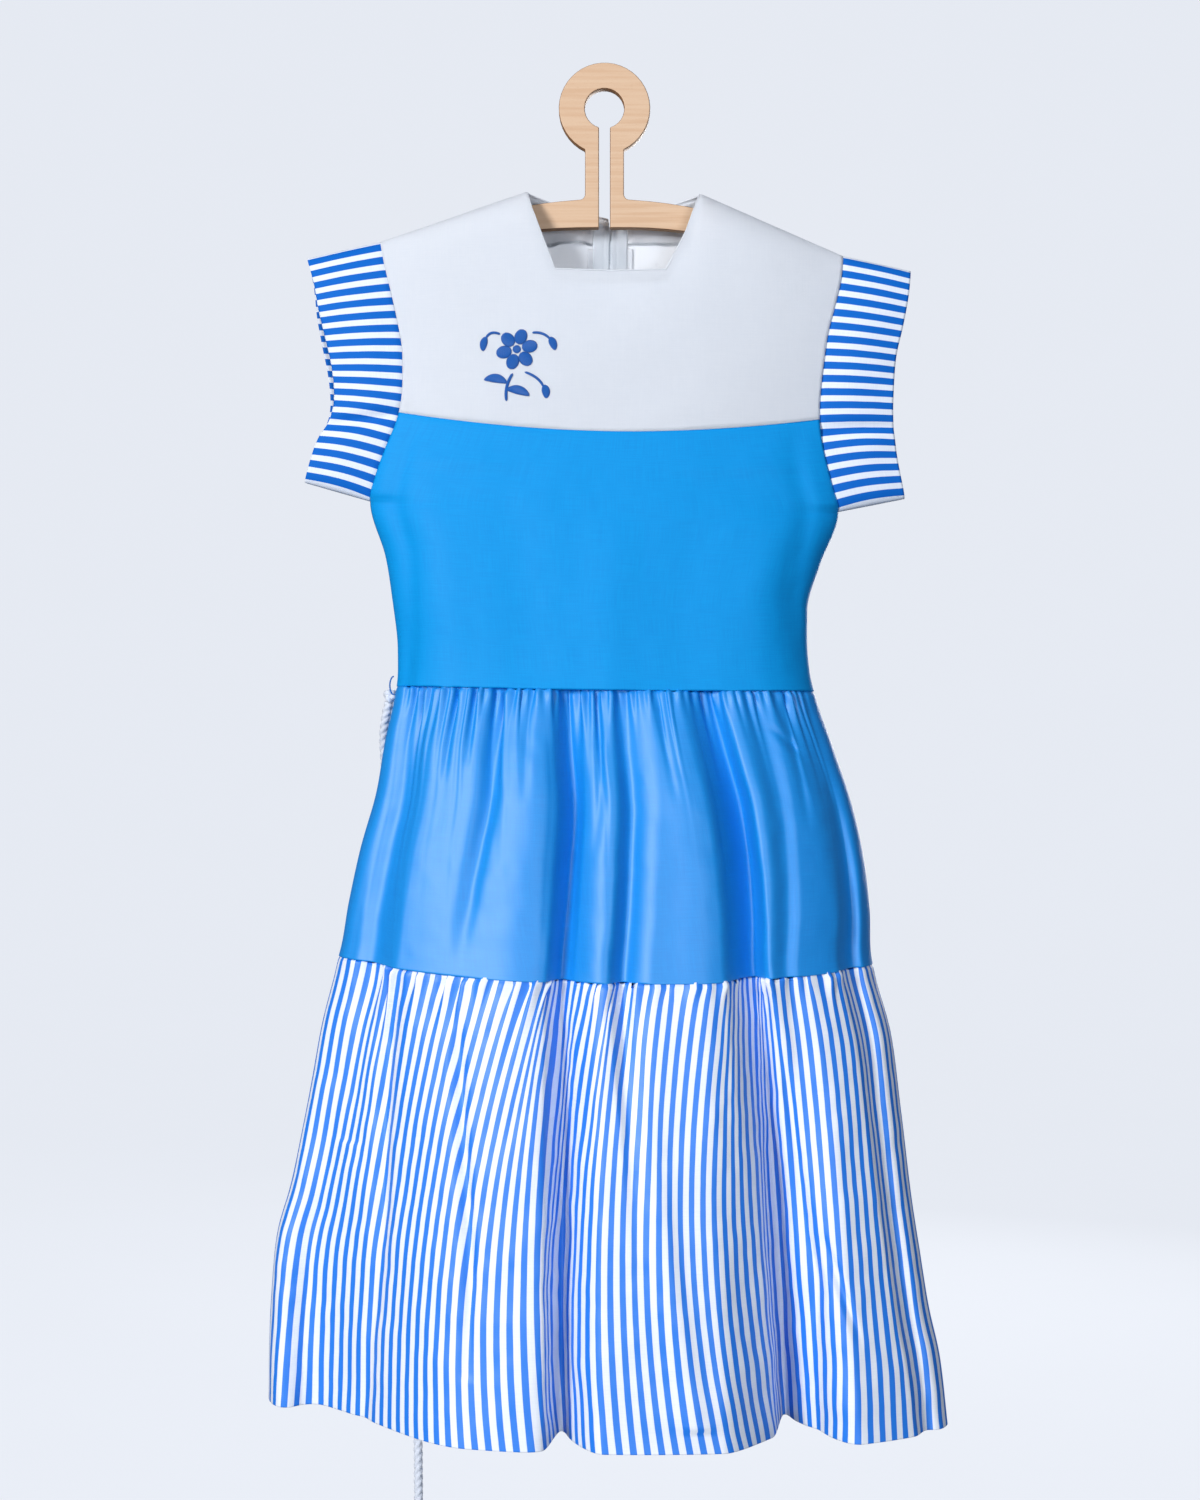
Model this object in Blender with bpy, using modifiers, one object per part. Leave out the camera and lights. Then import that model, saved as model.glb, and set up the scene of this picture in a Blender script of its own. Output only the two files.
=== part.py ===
"""Embroidered summer dress on a flat plywood hanger.

Metres, +Z up. The front faces -Y and +X is on the right of someone looking at it.
The origin is the top of the hole in the hanger's ring, where a nail carries it.

The cloth is worked out in levels that run down the dress: 0 at the shoulder ends,
1 at the underarms, 2 at the waist seam, 3 at the seam between the tiers and 4 at
the hem. Each panel is a grid of threads on that form, thickened to a wall.
"""
import math
from collections import namedtuple

import bmesh
import bpy
import numpy as np

# Cloth and seams
CLOTH = 0.0014
THIN_CLOTH = 0.0010
SEAM_GAP = 0.0008
LAY_GAP = 0.0003

# Levels of the seams
SHOULDER, YOKE, UNDERARM, WAIST, TIER, HEM = 0.0, 0.66, 1.0, 2.0, 3.0, 4.0

SeamHeight = namedtuple("SeamHeight", "level left middle right")
SEAM_HEIGHTS = (
    SeamHeight(SHOULDER, -0.1224, -0.0800, -0.1336),
    SeamHeight(YOKE, -0.2603, -0.2780, -0.2659),
    SeamHeight(UNDERARM, -0.3290, -0.3400, -0.3374),
    SeamHeight(WAIST, -0.4770, -0.4813, -0.4810),
    SeamHeight(TIER, -0.6930, -0.7066, -0.6990),
    SeamHeight(HEM, -1.0530, -1.0560, -1.0600),
)

# Outline from the front: armhole seams above level 1, side seams below it
Side = namedtuple("Side", "level left right")
SIDES = (
    Side(0.00, -0.1790, 0.1905),
    Side(0.10, -0.1748, 0.1880),
    Side(0.20, -0.1696, 0.1835),
    Side(0.32, -0.1640, 0.1772),
    Side(0.42, -0.1605, 0.1742),
    Side(0.52, -0.1601, 0.1718),
    Side(0.62, -0.1614, 0.1704),
    Side(0.70, -0.1655, 0.1711),
    Side(0.80, -0.1740, 0.1750),
    Side(0.92, -0.1830, 0.1818),
    Side(1.00, -0.1872, 0.1868),
    Side(1.30, -0.1750, 0.1720),
    Side(1.55, -0.1693, 0.1622),
    Side(1.80, -0.1655, 0.1628),
    Side(2.00, -0.1665, 0.1678),
    Side(2.20, -0.1755, 0.1825),
    Side(2.40, -0.1832, 0.1972),
    Side(2.60, -0.1955, 0.2072),
    Side(2.80, -0.2050, 0.2125),
    Side(3.00, -0.2133, 0.2150),
    Side(3.15, -0.2268, 0.2290),
    Side(3.32, -0.2384, 0.2366),
    Side(3.52, -0.2537, 0.2447),
    Side(3.62, -0.2640, 0.2500),
    Side(3.75, -0.2692, 0.2572),
    Side(3.85, -0.2713, 0.2650),
    Side(4.00, -0.2725, 0.2709),
)

# Outline from the side: depth of the side seams, of the middle of the front and of
# the back, and how flat each is across and how round it turns at the side seams
Depth = namedtuple("Depth", "level left right front back flat turn")
DEPTHS = (
    Depth(0.66, 0.000, 0.000, -0.034, 0.026, 2.6, 1.00),
    Depth(0.80, 0.000, 0.000, -0.036, 0.027, 2.8, 0.85),
    Depth(1.00, 0.000, 0.000, -0.039, 0.028, 3.2, 0.55),
    Depth(1.50, 0.003, 0.003, -0.043, 0.031, 3.4, 0.50),
    Depth(2.00, 0.005, 0.005, -0.047, 0.034, 3.0, 0.50),
    Depth(2.40, 0.006, 0.006, -0.064, 0.038, 2.6, 0.55),
    Depth(3.00, 0.009, 0.006, -0.081, 0.044, 2.4, 0.58),
    Depth(3.50, 0.018, -0.006, -0.097, 0.049, 2.2, 0.60),
    Depth(4.00, 0.028, -0.020, -0.108, 0.053, 2.2, 0.60),
)

# Largest folds: troughs across the front or the back, by place across the panel.
# Positive depth is a trough and negative a ridge; lip is how far the cloth beside a
# trough's steep left wall hangs over it.
Fold = namedtuple("Fold", "start end place_top place_end depth_top depth_end left right lip")
FRONT_FOLDS = (
    Fold(2.00, 3.00, 0.040, 0.030, 0.002, 0.006, 0.012, 0.020, 0.000),
    Fold(2.00, 3.00, 0.070, 0.085, 0.003, 0.009, 0.022, 0.016, 0.000),
    Fold(2.00, 2.80, 0.254, 0.237, 0.004, 0.001, 0.012, 0.010, 0.000),
    Fold(2.00, 3.00, 0.389, 0.405, 0.005, 0.015, 0.006, 0.034, 0.001),
    Fold(2.00, 3.00, 0.539, 0.528, 0.004, 0.006, 0.006, 0.026, 0.000),
    Fold(2.00, 3.00, 0.730, 0.758, 0.004, 0.022, 0.030, 0.012, 0.000),
    Fold(2.00, 3.00, 0.850, 0.822, 0.003, 0.005, 0.018, 0.012, 0.000),
    Fold(2.00, 3.00, 0.975, 0.948, 0.002, 0.007, 0.012, 0.012, 0.000),
    Fold(3.00, 4.00, 0.030, 0.090, 0.006, 0.050, 0.050, 0.120, 0.000),
    Fold(3.00, 3.50, 0.085, 0.130, 0.009, 0.000, 0.022, 0.030, 0.000),
    Fold(3.00, 4.00, 0.405, 0.415, 0.015, 0.033, 0.007, 0.062, 0.003),
    Fold(3.00, 3.70, 0.528, 0.560, 0.006, 0.000, 0.010, 0.030, 0.000),
    Fold(3.00, 4.00, 0.758, 0.759, 0.010, 0.038, 0.050, 0.060, 0.000),
    Fold(3.00, 4.00, 0.758, 0.759, 0.012, 0.038, 0.008, 0.070, 0.003),
    Fold(3.00, 3.60, 0.822, 0.850, 0.005, 0.000, 0.018, 0.020, 0.000),
    Fold(3.00, 4.00, 0.948, 0.965, 0.007, 0.010, 0.012, 0.014, 0.000),
)
BACK_FOLDS = (
    Fold(2.10, 3.00, 0.160, 0.150, 0.000, 0.010, 0.020, 0.026, 0.000),
    Fold(2.10, 3.00, 0.330, 0.320, 0.000, 0.012, 0.024, 0.020, 0.000),
    Fold(2.10, 3.00, 0.640, 0.650, 0.000, 0.012, 0.020, 0.026, 0.000),
    Fold(2.10, 3.00, 0.830, 0.840, 0.000, 0.010, 0.024, 0.020, 0.000),
    Fold(3.00, 4.00, 0.150, 0.130, 0.010, 0.032, 0.030, 0.036, 0.000),
    Fold(3.00, 4.00, 0.320, 0.315, 0.012, 0.034, 0.034, 0.028, 0.000),
    Fold(3.00, 4.00, 0.480, 0.490, 0.000, 0.030, 0.028, 0.034, 0.000),
    Fold(3.00, 4.00, 0.650, 0.670, 0.012, 0.034, 0.028, 0.036, 0.000),
    Fold(3.00, 4.00, 0.840, 0.860, 0.010, 0.030, 0.036, 0.028, 0.000),
)

# Gathers: how many, how high each stands at its seam, and how far down it dies out
Gathers = namedtuple("Gathers", "count height reach")
FRONT_TIER_GATHERS = Gathers(50, 0.0016, 0.030)
BACK_TIER_GATHERS = Gathers(25, 0.0016, 0.030)
FRONT_HEM_GATHERS = Gathers(46, 0.0020, 0.040)
BACK_HEM_GATHERS = Gathers(40, 0.0020, 0.040)
CALM_COLUMNS = 4
TIER_LEVELS = (WAIST, 2.07, 2.2, 2.42, 2.7, TIER)
FRONT_HEM_LEVELS = (TIER, 3.06, 3.18, 3.38, 3.6, 3.8, HEM)
BACK_HEM_LEVELS = (TIER, 3.06, 3.2, 3.45, 3.72, HEM)

# Neck, from the front: points where the shoulder seams and the neck edge meet
NECK_LEFT = (-0.0620, -0.0824)
NECK_RIGHT = (0.0764, -0.0840)
NECK_CORNER_LEFT = (-0.0391, -0.1490)
NECK_CORNER_RIGHT = (0.0485, -0.1494)
BACK_NECK_Z = -0.0990
BACK_NECK_POWER = 1.1
YOKE_FRONT_DEPTH = 0.024
YOKE_BACK_DEPTH = 0.021
SHOULDER_ROUND = 0.030
YOKE_ROWS = (0.0, 0.012, 0.045, 0.11, 0.2, 0.36, 0.52, 0.68, 0.84, 1.0)
BODICE_LEVELS = (YOKE, 0.76, 0.86, 0.94, UNDERARM, 1.15, 1.4, 1.7, WAIST)
BODICE_COLUMNS = 24
SHOULDER_COLUMNS = 5
# Shares along the chest seam that the threads from the neck's points run down to
NECK_LEFT_SHARE, CORNER_LEFT_SHARE, CORNER_RIGHT_SHARE, NECK_RIGHT_SHARE = 0.33, 0.385, 0.635, 0.70
ARMHOLE_LEVELS = tuple(YOKE * row for row in YOKE_ROWS) + BODICE_LEVELS[1:5]

# Centre back line, the zip in it and the facing at its top
CENTRE_BACK = ((SHOULDER, 0.0047), (YOKE, 0.0040), (WAIST, 0.0000), (HEM, 0.0000))
ZIP_HALF_GAP = 0.0020
ZIP_END_LEVEL = 2.38
ZIP_CLOSES = 0.08
TAPE_WIDTH = 0.0130
TAPE_HALF_GAP = 0.0008
TAPE_TOP_Z = -0.1015
TAPE_ROWS = 16
FACING_FIRST_ROW, FACING_LAST_ROW = 1, 3
FACING_STEP = 0.0020

# Armholes and sleeves
ARMHOLE_DEPTH = 0.016
ARMHOLE_POWER = 0.7
CuffPoint = namedtuple("CuffPoint", "drop left right")
CUFF = (
    CuffPoint(0.00, -0.2375, 0.2445),
    CuffPoint(0.12, -0.2312, 0.2418),
    CuffPoint(0.25, -0.2268, 0.2372),
    CuffPoint(0.38, -0.2212, 0.2318),
    CuffPoint(0.50, -0.2165, 0.2298),
    CuffPoint(0.62, -0.2147, 0.2291),
    CuffPoint(0.72, -0.2180, 0.2303),
    CuffPoint(0.82, -0.2284, 0.2325),
    CuffPoint(1.00, -0.2395, 0.2397),
)
Sleeve = namedtuple("Sleeve", "name side cuff_top cuff_bottom cuff_depth back_reach crease_in crease_out")
SLEEVES = (
    Sleeve("sleeve_left", "left", -0.1355, -0.3140, 0.013, 0.0065, 0.67, 0.75),
    Sleeve("sleeve_right", "right", -0.1455, -0.3270, 0.013, 0.0015, 0.70, 0.70),
)
SLEEVE_ROWS = 4
SLEEVE_BULGE = 0.004
CREASE_DEPTH = 0.0045
CREASE_WIDTH = 0.035

# Hanger
HOLE_RADIUS = 0.0158
RING_RADIUS = 0.0365
SLOT_HALF = 0.0044
NECK_HALF = 0.0155
ARM_TOP_Z = -0.0885
ARM_BOTTOM_Z = -0.1112
ARM_FILLET = 0.0045
ARM_REACH = 0.1500
ARM_START = 0.0160
ARM_TAPER = 0.050
ArmCurve = namedtuple("ArmCurve", "slope bend")
LEFT_ARM = ArmCurve(0.0592, 1.100)
RIGHT_ARM = ArmCurve(0.0446, 1.390)
HANGER_THICK = 0.0090

# Belt loop and rope belt
LOOP_WIRE = 0.0009
LOOP_REACH = 0.0050
LOOP_TOP_Z = -0.4690
LOOP_BOTTOM_Z = -0.4835
ROPE_RADIUS = 0.0038
ROPE_STEP = 0.0180
ROPE_ROUTE = (
    (-0.1737, 0.0140, -0.4895),
    (-0.1777, 0.0215, -0.5050),
    (-0.1795, 0.0290, -0.5230),
    (-0.1780, 0.0385, -0.5550),
    (-0.1745, 0.0470, -0.6000),
    (-0.1715, 0.0560, -0.6600),
    (-0.1690, 0.0610, -0.7200),
    (-0.1665, 0.0640, -0.8000),
    (-0.1635, 0.0660, -0.8800),
    (-0.1605, 0.0675, -0.9600),
    (-0.1575, 0.0680, -1.0300),
    (-0.1552, 0.0680, -1.0900),
    (-0.1545, 0.0680, -1.1530),
)
KNOT_RADIUS = 0.0055

# Zip slider and pull tab
SLIDER_TOP_Z = -0.1040
SLIDER_HEIGHT = 0.0110
SLIDER_WIDTH = 0.0075
SLIDER_THICK = 0.0024
BRIDGE_WIDTH = 0.0016
BRIDGE_HALF_HEIGHT = 0.0030
BRIDGE_OUT = 0.0036
BRIDGE_WALL = 0.0012
BRIDGE_FOOT = 0.0001
BRIDGE_CORNER = 0.0008
TAB_BAR = 0.0012
TAB_WIDTH = 0.0060
TAB_LENGTH = 0.0220
TAB_ROUND = 0.0020
TAB_HOLE_HALF = 0.0015
TAB_HOLE_END = 0.0046

SAMPLES = 801
WELD = 0.000001


def smooth_track(xs, ys, at):
    """Read a smooth curve through the points (xs, ys), with no overshoot, at one or more places."""
    xs = np.asarray(xs, float)
    ys = np.asarray(ys, float)
    slopes = np.diff(ys) / np.diff(xs)
    tangents = np.concatenate([slopes[:1], (slopes[1:] + slopes[:-1]) / 2, slopes[-1:]])
    turning = np.concatenate([[False], slopes[1:] * slopes[:-1] <= 0, [False]])
    tangents[turning] = 0.0
    at = np.clip(np.asarray(at, float), xs[0], xs[-1])
    span = np.clip(np.searchsorted(xs, at) - 1, 0, len(xs) - 2)
    width = xs[span + 1] - xs[span]
    t = (at - xs[span]) / width
    return (
        ys[span] * (1 + 2 * t) * (1 - t) ** 2
        + ys[span + 1] * (3 - 2 * t) * t**2
        + width * (tangents[span] * t * (1 - t) ** 2 - tangents[span + 1] * (1 - t) * t**2)
    )


def read_table(table, column, at):
    """Read one named column of a table smoothly, by its first column."""
    return smooth_track([row[0] for row in table], [getattr(row, column) for row in table], at)


def seam_height(level, across):
    """Height of the line at a level, across the dress from 0 at the left to 1 at the right."""
    levels = [row.level for row in SEAM_HEIGHTS]
    left, middle, right = (
        np.interp(level, levels, [getattr(row, name) for row in SEAM_HEIGHTS])
        for name in ("left", "middle", "right")
    )
    return (
        left * (1 - across) * (1 - 2 * across)
        + middle * 4 * across * (1 - across)
        + right * across * (2 * across - 1)
    )


def armhole_depth(level):
    """How far the armhole seam lies in front of, or behind, the shoulder line."""
    inside = np.clip(level, 0.0, 1.0)
    return ARMHOLE_DEPTH * (2 * np.sqrt(inside * (1 - inside))) ** ARMHOLE_POWER


def uneven(number):
    """A steady value from 0 to 1 that looks random from one whole number to the next."""
    return (math.sin(number * 12.9898) * 43758.5453) % 1.0


def fold_offsets(folds, level, across, width):
    """Depth and sideways shift that the folds give to points across one level."""
    depth = np.zeros_like(across)
    shift = np.zeros_like(across)
    for fold in folds:
        if not fold.start <= level <= fold.end:
            continue
        down = (level - fold.start) / (fold.end - fold.start)
        place = fold.place_top + (fold.place_end - fold.place_top) * down
        height = fold.depth_top + (fold.depth_end - fold.depth_top) * down
        away = (across - place) * width
        reach = np.where(away < 0, fold.left, fold.right)
        depth += height * 0.5 * (1 + np.cos(np.pi * np.clip(away / reach, -1, 1)))
        lip = np.clip(1 - np.abs(away + fold.left) / (2 * fold.left), 0, 1)
        shift += fold.lip * down * lip
    return depth, shift


def body_line(level, front):
    """Points of the front or the back across one level, from the left seam to the right one."""
    turn = np.linspace(0.0, math.pi, SAMPLES)
    across = (1 - np.cos(turn)) / 2
    left = read_table(SIDES, "left", level)
    right = read_table(SIDES, "right", level)
    width = right - left
    side = read_table(DEPTHS, "left", level) * (1 - across) + read_table(DEPTHS, "right", level) * across
    middle = read_table(DEPTHS, "front" if front else "back", level)
    outward = -1.0 if front else 1.0
    edge = side + outward * (armhole_depth(level) + SEAM_GAP / 2)
    flat = read_table(DEPTHS, "flat", level)
    power = read_table(DEPTHS, "turn", level)
    bulge = (1 - np.abs(2 * across - 1) ** flat) ** power
    depth, shift = fold_offsets(FRONT_FOLDS if front else BACK_FOLDS, level, across, width)
    damping = np.clip(bulge * 2.5, 0, 1)
    x = left + width * across + shift * damping
    y = edge + (middle - edge) * bulge - outward * depth * damping
    return np.stack([x, y, seam_height(level, across)], axis=1)


def centre_back_x(level):
    """Where the centre back line lies across the dress at a level."""
    return float(np.interp(level, *zip(*CENTRE_BACK)))


def zip_half_gap(level):
    """Half the space between the two backs: the zip's above its end, a seam's below it."""
    closing = (ZIP_END_LEVEL, ZIP_END_LEVEL + ZIP_CLOSES)
    return float(np.interp(level, closing, (ZIP_HALF_GAP, SEAM_GAP / 2)))


def threads(line, places):
    """Points along a line at the given shares of its length, as seen from above."""
    steps = np.linalg.norm(np.diff(line[:, :2], axis=0), axis=1)
    length = np.concatenate([[0.0], np.cumsum(steps)])
    return np.stack([np.interp(places * length[-1], length, line[:, axis]) for axis in range(3)], axis=1)


def panel_line(level, part):
    """The line across one level of a whole front or back, or of one half of the back."""
    line = body_line(level, front=part.startswith("front"))
    if part == "back_left":
        line = line[line[:, 0] <= centre_back_x(level) - zip_half_gap(level)]
    elif part == "back_right":
        line = line[line[:, 0] >= centre_back_x(level) + zip_half_gap(level)]
    return line


def sewn_ends(grid):
    """Draw a panel's top and bottom edges back by half a seam gap."""
    grid[0, :, 2] -= SEAM_GAP / 2
    grid[-1, :, 2] += SEAM_GAP / 2
    return grid


def thread_normals(grid):
    """Unit normals of a grid of points."""
    down = np.gradient(grid, axis=0)
    along = np.gradient(grid, axis=1)
    normals = np.cross(along, down)
    return normals / np.linalg.norm(normals, axis=2, keepdims=True)


def panel_grid(part, levels, columns):
    """Grid of threads of a smooth panel between two seams."""
    places = np.linspace(0, 1, columns + 1)
    grid = np.stack([threads(panel_line(level, part), places) for level in levels])
    return sewn_ends(grid)


def gathered_grid(part, levels, gathers):
    """Grid of threads of a gathered panel, with one column on each ridge and each trough."""
    columns = 2 * gathers.count
    marks = [0.0]
    for number in range(1, columns):
        marks.append((number + 0.5 * (uneven(number) - 0.5)) / columns)
    marks.append(1.0)
    places = np.array(marks)
    grid = np.stack([threads(panel_line(level, part), places) for level in levels])
    calm = np.clip((np.minimum(places, 1 - places) * columns - CALM_COLUMNS) / CALM_COLUMNS, 0, 1)
    outward = -1.0 if part.startswith("front") else 1.0
    for column in range(columns + 1):
        side = 1.0 if column % 2 else -1.0
        height = gathers.height * (0.65 + 0.5 * uneven(column + 7)) * calm[column]
        reach = gathers.reach * (0.5 + 1.1 * uneven(column // 2 + 31))
        fall = grid[0, column, 2] - grid[:, column, 2]
        grid[:, column, 1] += outward * side * height * np.exp(-fall / reach)
    return sewn_ends(grid)


def shoulder_height(x):
    """Height of the shoulder line above a place across the dress, level over the neck."""
    heights = (SEAM_HEIGHTS[0].left, NECK_LEFT[1], NECK_RIGHT[1], SEAM_HEIGHTS[0].right)
    return np.interp(x, (SIDES[0].left, NECK_LEFT[0], NECK_RIGHT[0], SIDES[0].right), heights)


def yoke_grid(front, stations):
    """Grid of a yoke from its shoulder and neck edge down to the chest seam.

    Each station gives a place on the top edge, its share along the chest seam and how
    many columns lead up to it from the station before.
    """
    top, share = [np.array(stations[0][0])], [stations[0][1]]
    for before, after in zip(stations, stations[1:]):
        for step in range(1, after[2] + 1):
            part = step / after[2]
            top.append(np.array(before[0]) * (1 - part) + np.array(after[0]) * part)
            share.append(before[1] * (1 - part) + after[1] * part)
    top, share = np.array(top), np.array(share)
    seam = body_line(YOKE, front)
    share_length = (seam[:, 0] - seam[0, 0]) / (seam[-1, 0] - seam[0, 0])
    bottom = np.stack([np.interp(share, share_length, seam[:, axis]) for axis in (0, 2)], axis=1)
    outward = -1.0 if front else 1.0
    middle_top = YOKE_FRONT_DEPTH if front else YOKE_BACK_DEPTH
    middle_end = abs(float(read_table(DEPTHS, "front" if front else "back", YOKE)))
    grid = np.zeros((len(YOKE_ROWS), len(share), 3))
    for row, down in enumerate(YOKE_ROWS):
        level = YOKE * down
        flat = top * (1 - down) + bottom * down
        for edge, name, weight in ((0, "left", 1 - share), (1, "right", share)):
            column = -edge
            if not math.isclose(share[column], edge, abs_tol=WELD):
                continue
            wanted = np.array([read_table(SIDES, name, level), seam_height(level, float(edge))])
            straight = top[column] * (1 - down) + bottom[column] * down
            flat = flat + (wanted - straight) * weight[:, None] ** 2
        drop = shoulder_height(flat[:, 0]) - flat[:, 1]
        rounded = np.sqrt(1 - (1 - np.clip(drop / SHOULDER_ROUND, 0, 1)) ** 2)
        middle = (middle_top + (middle_end - middle_top) * down) * rounded
        edge_depth = armhole_depth(level)
        bulge = 1 - np.abs(2 * share - 1) ** read_table(DEPTHS, "flat", YOKE)
        depth = edge_depth + (middle - edge_depth) * bulge
        grid[row, :, 0] = flat[:, 0]
        grid[row, :, 1] = outward * (depth + SEAM_GAP / 2)
        grid[row, :, 2] = flat[:, 1]
    grid[-1, :, 2] += SEAM_GAP / 2
    return grid


def back_neck_point(share, side):
    """A point of the back neck edge, from 0 at the shoulder seam to 1 at the zip."""
    corner = NECK_LEFT if side == "left" else NECK_RIGHT
    sign = -1 if side == "left" else 1
    x = corner[0] + (centre_back_x(SHOULDER) + sign * ZIP_HALF_GAP - corner[0]) * share
    rise = (1 - share) ** BACK_NECK_POWER
    return (x, BACK_NECK_Z + (corner[1] - BACK_NECK_Z) * rise)


def back_yoke_stations(side):
    """Stations of one half of the back yoke, from left to right."""
    shoulder = SEAM_HEIGHTS[0]
    seam_left, seam_right = read_table(SIDES, "left", YOKE), read_table(SIDES, "right", YOKE)
    middle = centre_back_x(YOKE) + (-ZIP_HALF_GAP if side == "left" else ZIP_HALF_GAP)
    middle_share = (middle - seam_left) / (seam_right - seam_left)
    if side == "left":
        stations = [((SIDES[0].left, shoulder.left), 0.0, 0), (NECK_LEFT, NECK_LEFT_SHARE, SHOULDER_COLUMNS)]
        for share in (0.5, 1.0):
            place = NECK_LEFT_SHARE + (middle_share - NECK_LEFT_SHARE) * share
            stations.append((back_neck_point(share, side), place, 3))
        return stations
    stations = [(back_neck_point(1.0, side), middle_share, 0)]
    for share in (0.5, 0.0):
        place = middle_share + (NECK_RIGHT_SHARE - middle_share) * (1 - share)
        stations.append((back_neck_point(share, side), place, 3))
    stations.append(((SIDES[0].right, shoulder.right), 1.0, SHOULDER_COLUMNS))
    return stations


def sleeve_grid(sleeve):
    """Closed grid of one sleeve, from the armhole seam out to its open cuff."""
    outward = -1.0 if sleeve.side == "left" else 1.0
    down = np.array(ARMHOLE_LEVELS)
    drop = np.concatenate([down, down[-2::-1]])
    front = np.concatenate([-np.ones(len(down)), np.ones(len(down) - 1)])
    roundness = armhole_depth(drop) / ARMHOLE_DEPTH
    edge = 0.0 if sleeve.side == "left" else 1.0
    armhole = np.stack([
        read_table(SIDES, sleeve.side, drop) + outward * SEAM_GAP,
        front * ARMHOLE_DEPTH * roundness,
        seam_height(drop, edge),
    ], axis=1)
    back_reach = np.where(front > 0, sleeve.back_reach, 0.0) * np.sin(np.pi * drop)
    cuff = np.stack([
        read_table(CUFF, sleeve.side, drop) + outward * back_reach,
        front * sleeve.cuff_depth * roundness,
        sleeve.cuff_top + (sleeve.cuff_bottom - sleeve.cuff_top) * drop,
    ], axis=1)
    grid = []
    for out in np.linspace(0, 1, SLEEVE_ROWS + 1):
        ring = armhole * (1 - out) + cuff * out
        ring[:, 1] += front * roundness * SLEEVE_BULGE * math.sin(math.pi * out)
        crease = sleeve.crease_in + (sleeve.crease_out - sleeve.crease_in) * out
        trough = np.exp(-((drop - crease) / CREASE_WIDTH) ** 2) * math.sin(math.pi * (0.15 + 0.7 * out))
        ring[:, 1] -= front * CREASE_DEPTH * trough
        grid.append(ring)
    return np.array(grid)


def inside_layer(grid, cloth):
    """The same threads moved inside the dress, clear of the wall that they lie on."""
    normals = thread_normals(grid)
    inward = -normals if normals[:, :, 1].mean() > 0 else normals
    return grid + inward * ((CLOTH + cloth) / 2 + LAY_GAP)


def facing_grid(side):
    """Grid of one half of the back neck facing, laid inside the back yoke."""
    grid = inside_layer(yoke_grid(False, back_yoke_stations(side)), THIN_CLOTH)
    grid = grid[FACING_FIRST_ROW:FACING_LAST_ROW + 1]
    zip_edge = TAPE_HALF_GAP + TAPE_WIDTH + SEAM_GAP
    if side == "left":
        grid = grid[:, SHOULDER_COLUMNS:, :]
        away = FACING_STEP * np.arange(grid.shape[1])[::-1]
        grid[:, :, 0] = np.minimum(grid[:, :, 0], centre_back_x(SHOULDER) - zip_edge - away)
    else:
        grid = grid[:, :-SHOULDER_COLUMNS, :]
        away = FACING_STEP * np.arange(grid.shape[1])
        grid[:, :, 0] = np.maximum(grid[:, :, 0], centre_back_x(SHOULDER) + zip_edge + away)
    return grid


def back_depth(x, z):
    """Depth of the back yoke's threads beside the zip at a height."""
    drop = shoulder_height(x) - z
    down = np.clip((BACK_NECK_Z - z) / (BACK_NECK_Z - seam_height(YOKE, 0.5)), 0, 1)
    rounded = math.sqrt(1 - (1 - min(drop / SHOULDER_ROUND, 1)) ** 2)
    middle_end = float(read_table(DEPTHS, "back", YOKE))
    return (YOKE_BACK_DEPTH + (middle_end - YOKE_BACK_DEPTH) * down) * rounded


def tape_grid(sign):
    """Grid of one zip tape, down the inside of the centre back."""
    bottom_z = seam_height(ZIP_END_LEVEL, 0.5)
    grid = np.zeros((TAPE_ROWS + 1, 3, 3))
    levels = np.linspace(YOKE, ZIP_END_LEVEL, SAMPLES)
    heights = np.array([seam_height(level, 0.5) for level in levels])
    for row, z in enumerate(np.linspace(TAPE_TOP_Z, bottom_z, TAPE_ROWS + 1)):
        if z > heights[0]:
            level = YOKE * (BACK_NECK_Z - z) / (BACK_NECK_Z - heights[0])
            y = back_depth(centre_back_x(level), z)
        else:
            level = float(np.interp(-z, -heights, levels))
            line = body_line(level, front=False)
            y = float(np.interp(centre_back_x(level), line[:, 0], line[:, 1]))
        for column, share in enumerate((0.0, 0.5, 1.0)):
            x = centre_back_x(level) + sign * (TAPE_HALF_GAP + TAPE_WIDTH * share)
            grid[row, column] = (x, y - (CLOTH + THIN_CLOTH) / 2 - LAY_GAP, z)
    return grid


def make_material(name, colour, roughness, metallic=0.0):
    """A Principled material of one colour."""
    material = bpy.data.materials.new(name)
    material.use_nodes = True
    shader = material.node_tree.nodes["Principled BSDF"]
    shader.inputs["Base Color"].default_value = (*colour, 1.0)
    shader.inputs["Roughness"].default_value = roughness
    shader.inputs["Metallic"].default_value = metallic
    return material


def add_object(name, data, collection, material):
    """Put new data in the collection as an object with its material."""
    thing = bpy.data.objects.new(name, data)
    collection.objects.link(thing)
    if data.materials:
        data.materials[0] = material
    else:
        data.materials.append(material)
    return thing


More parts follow.
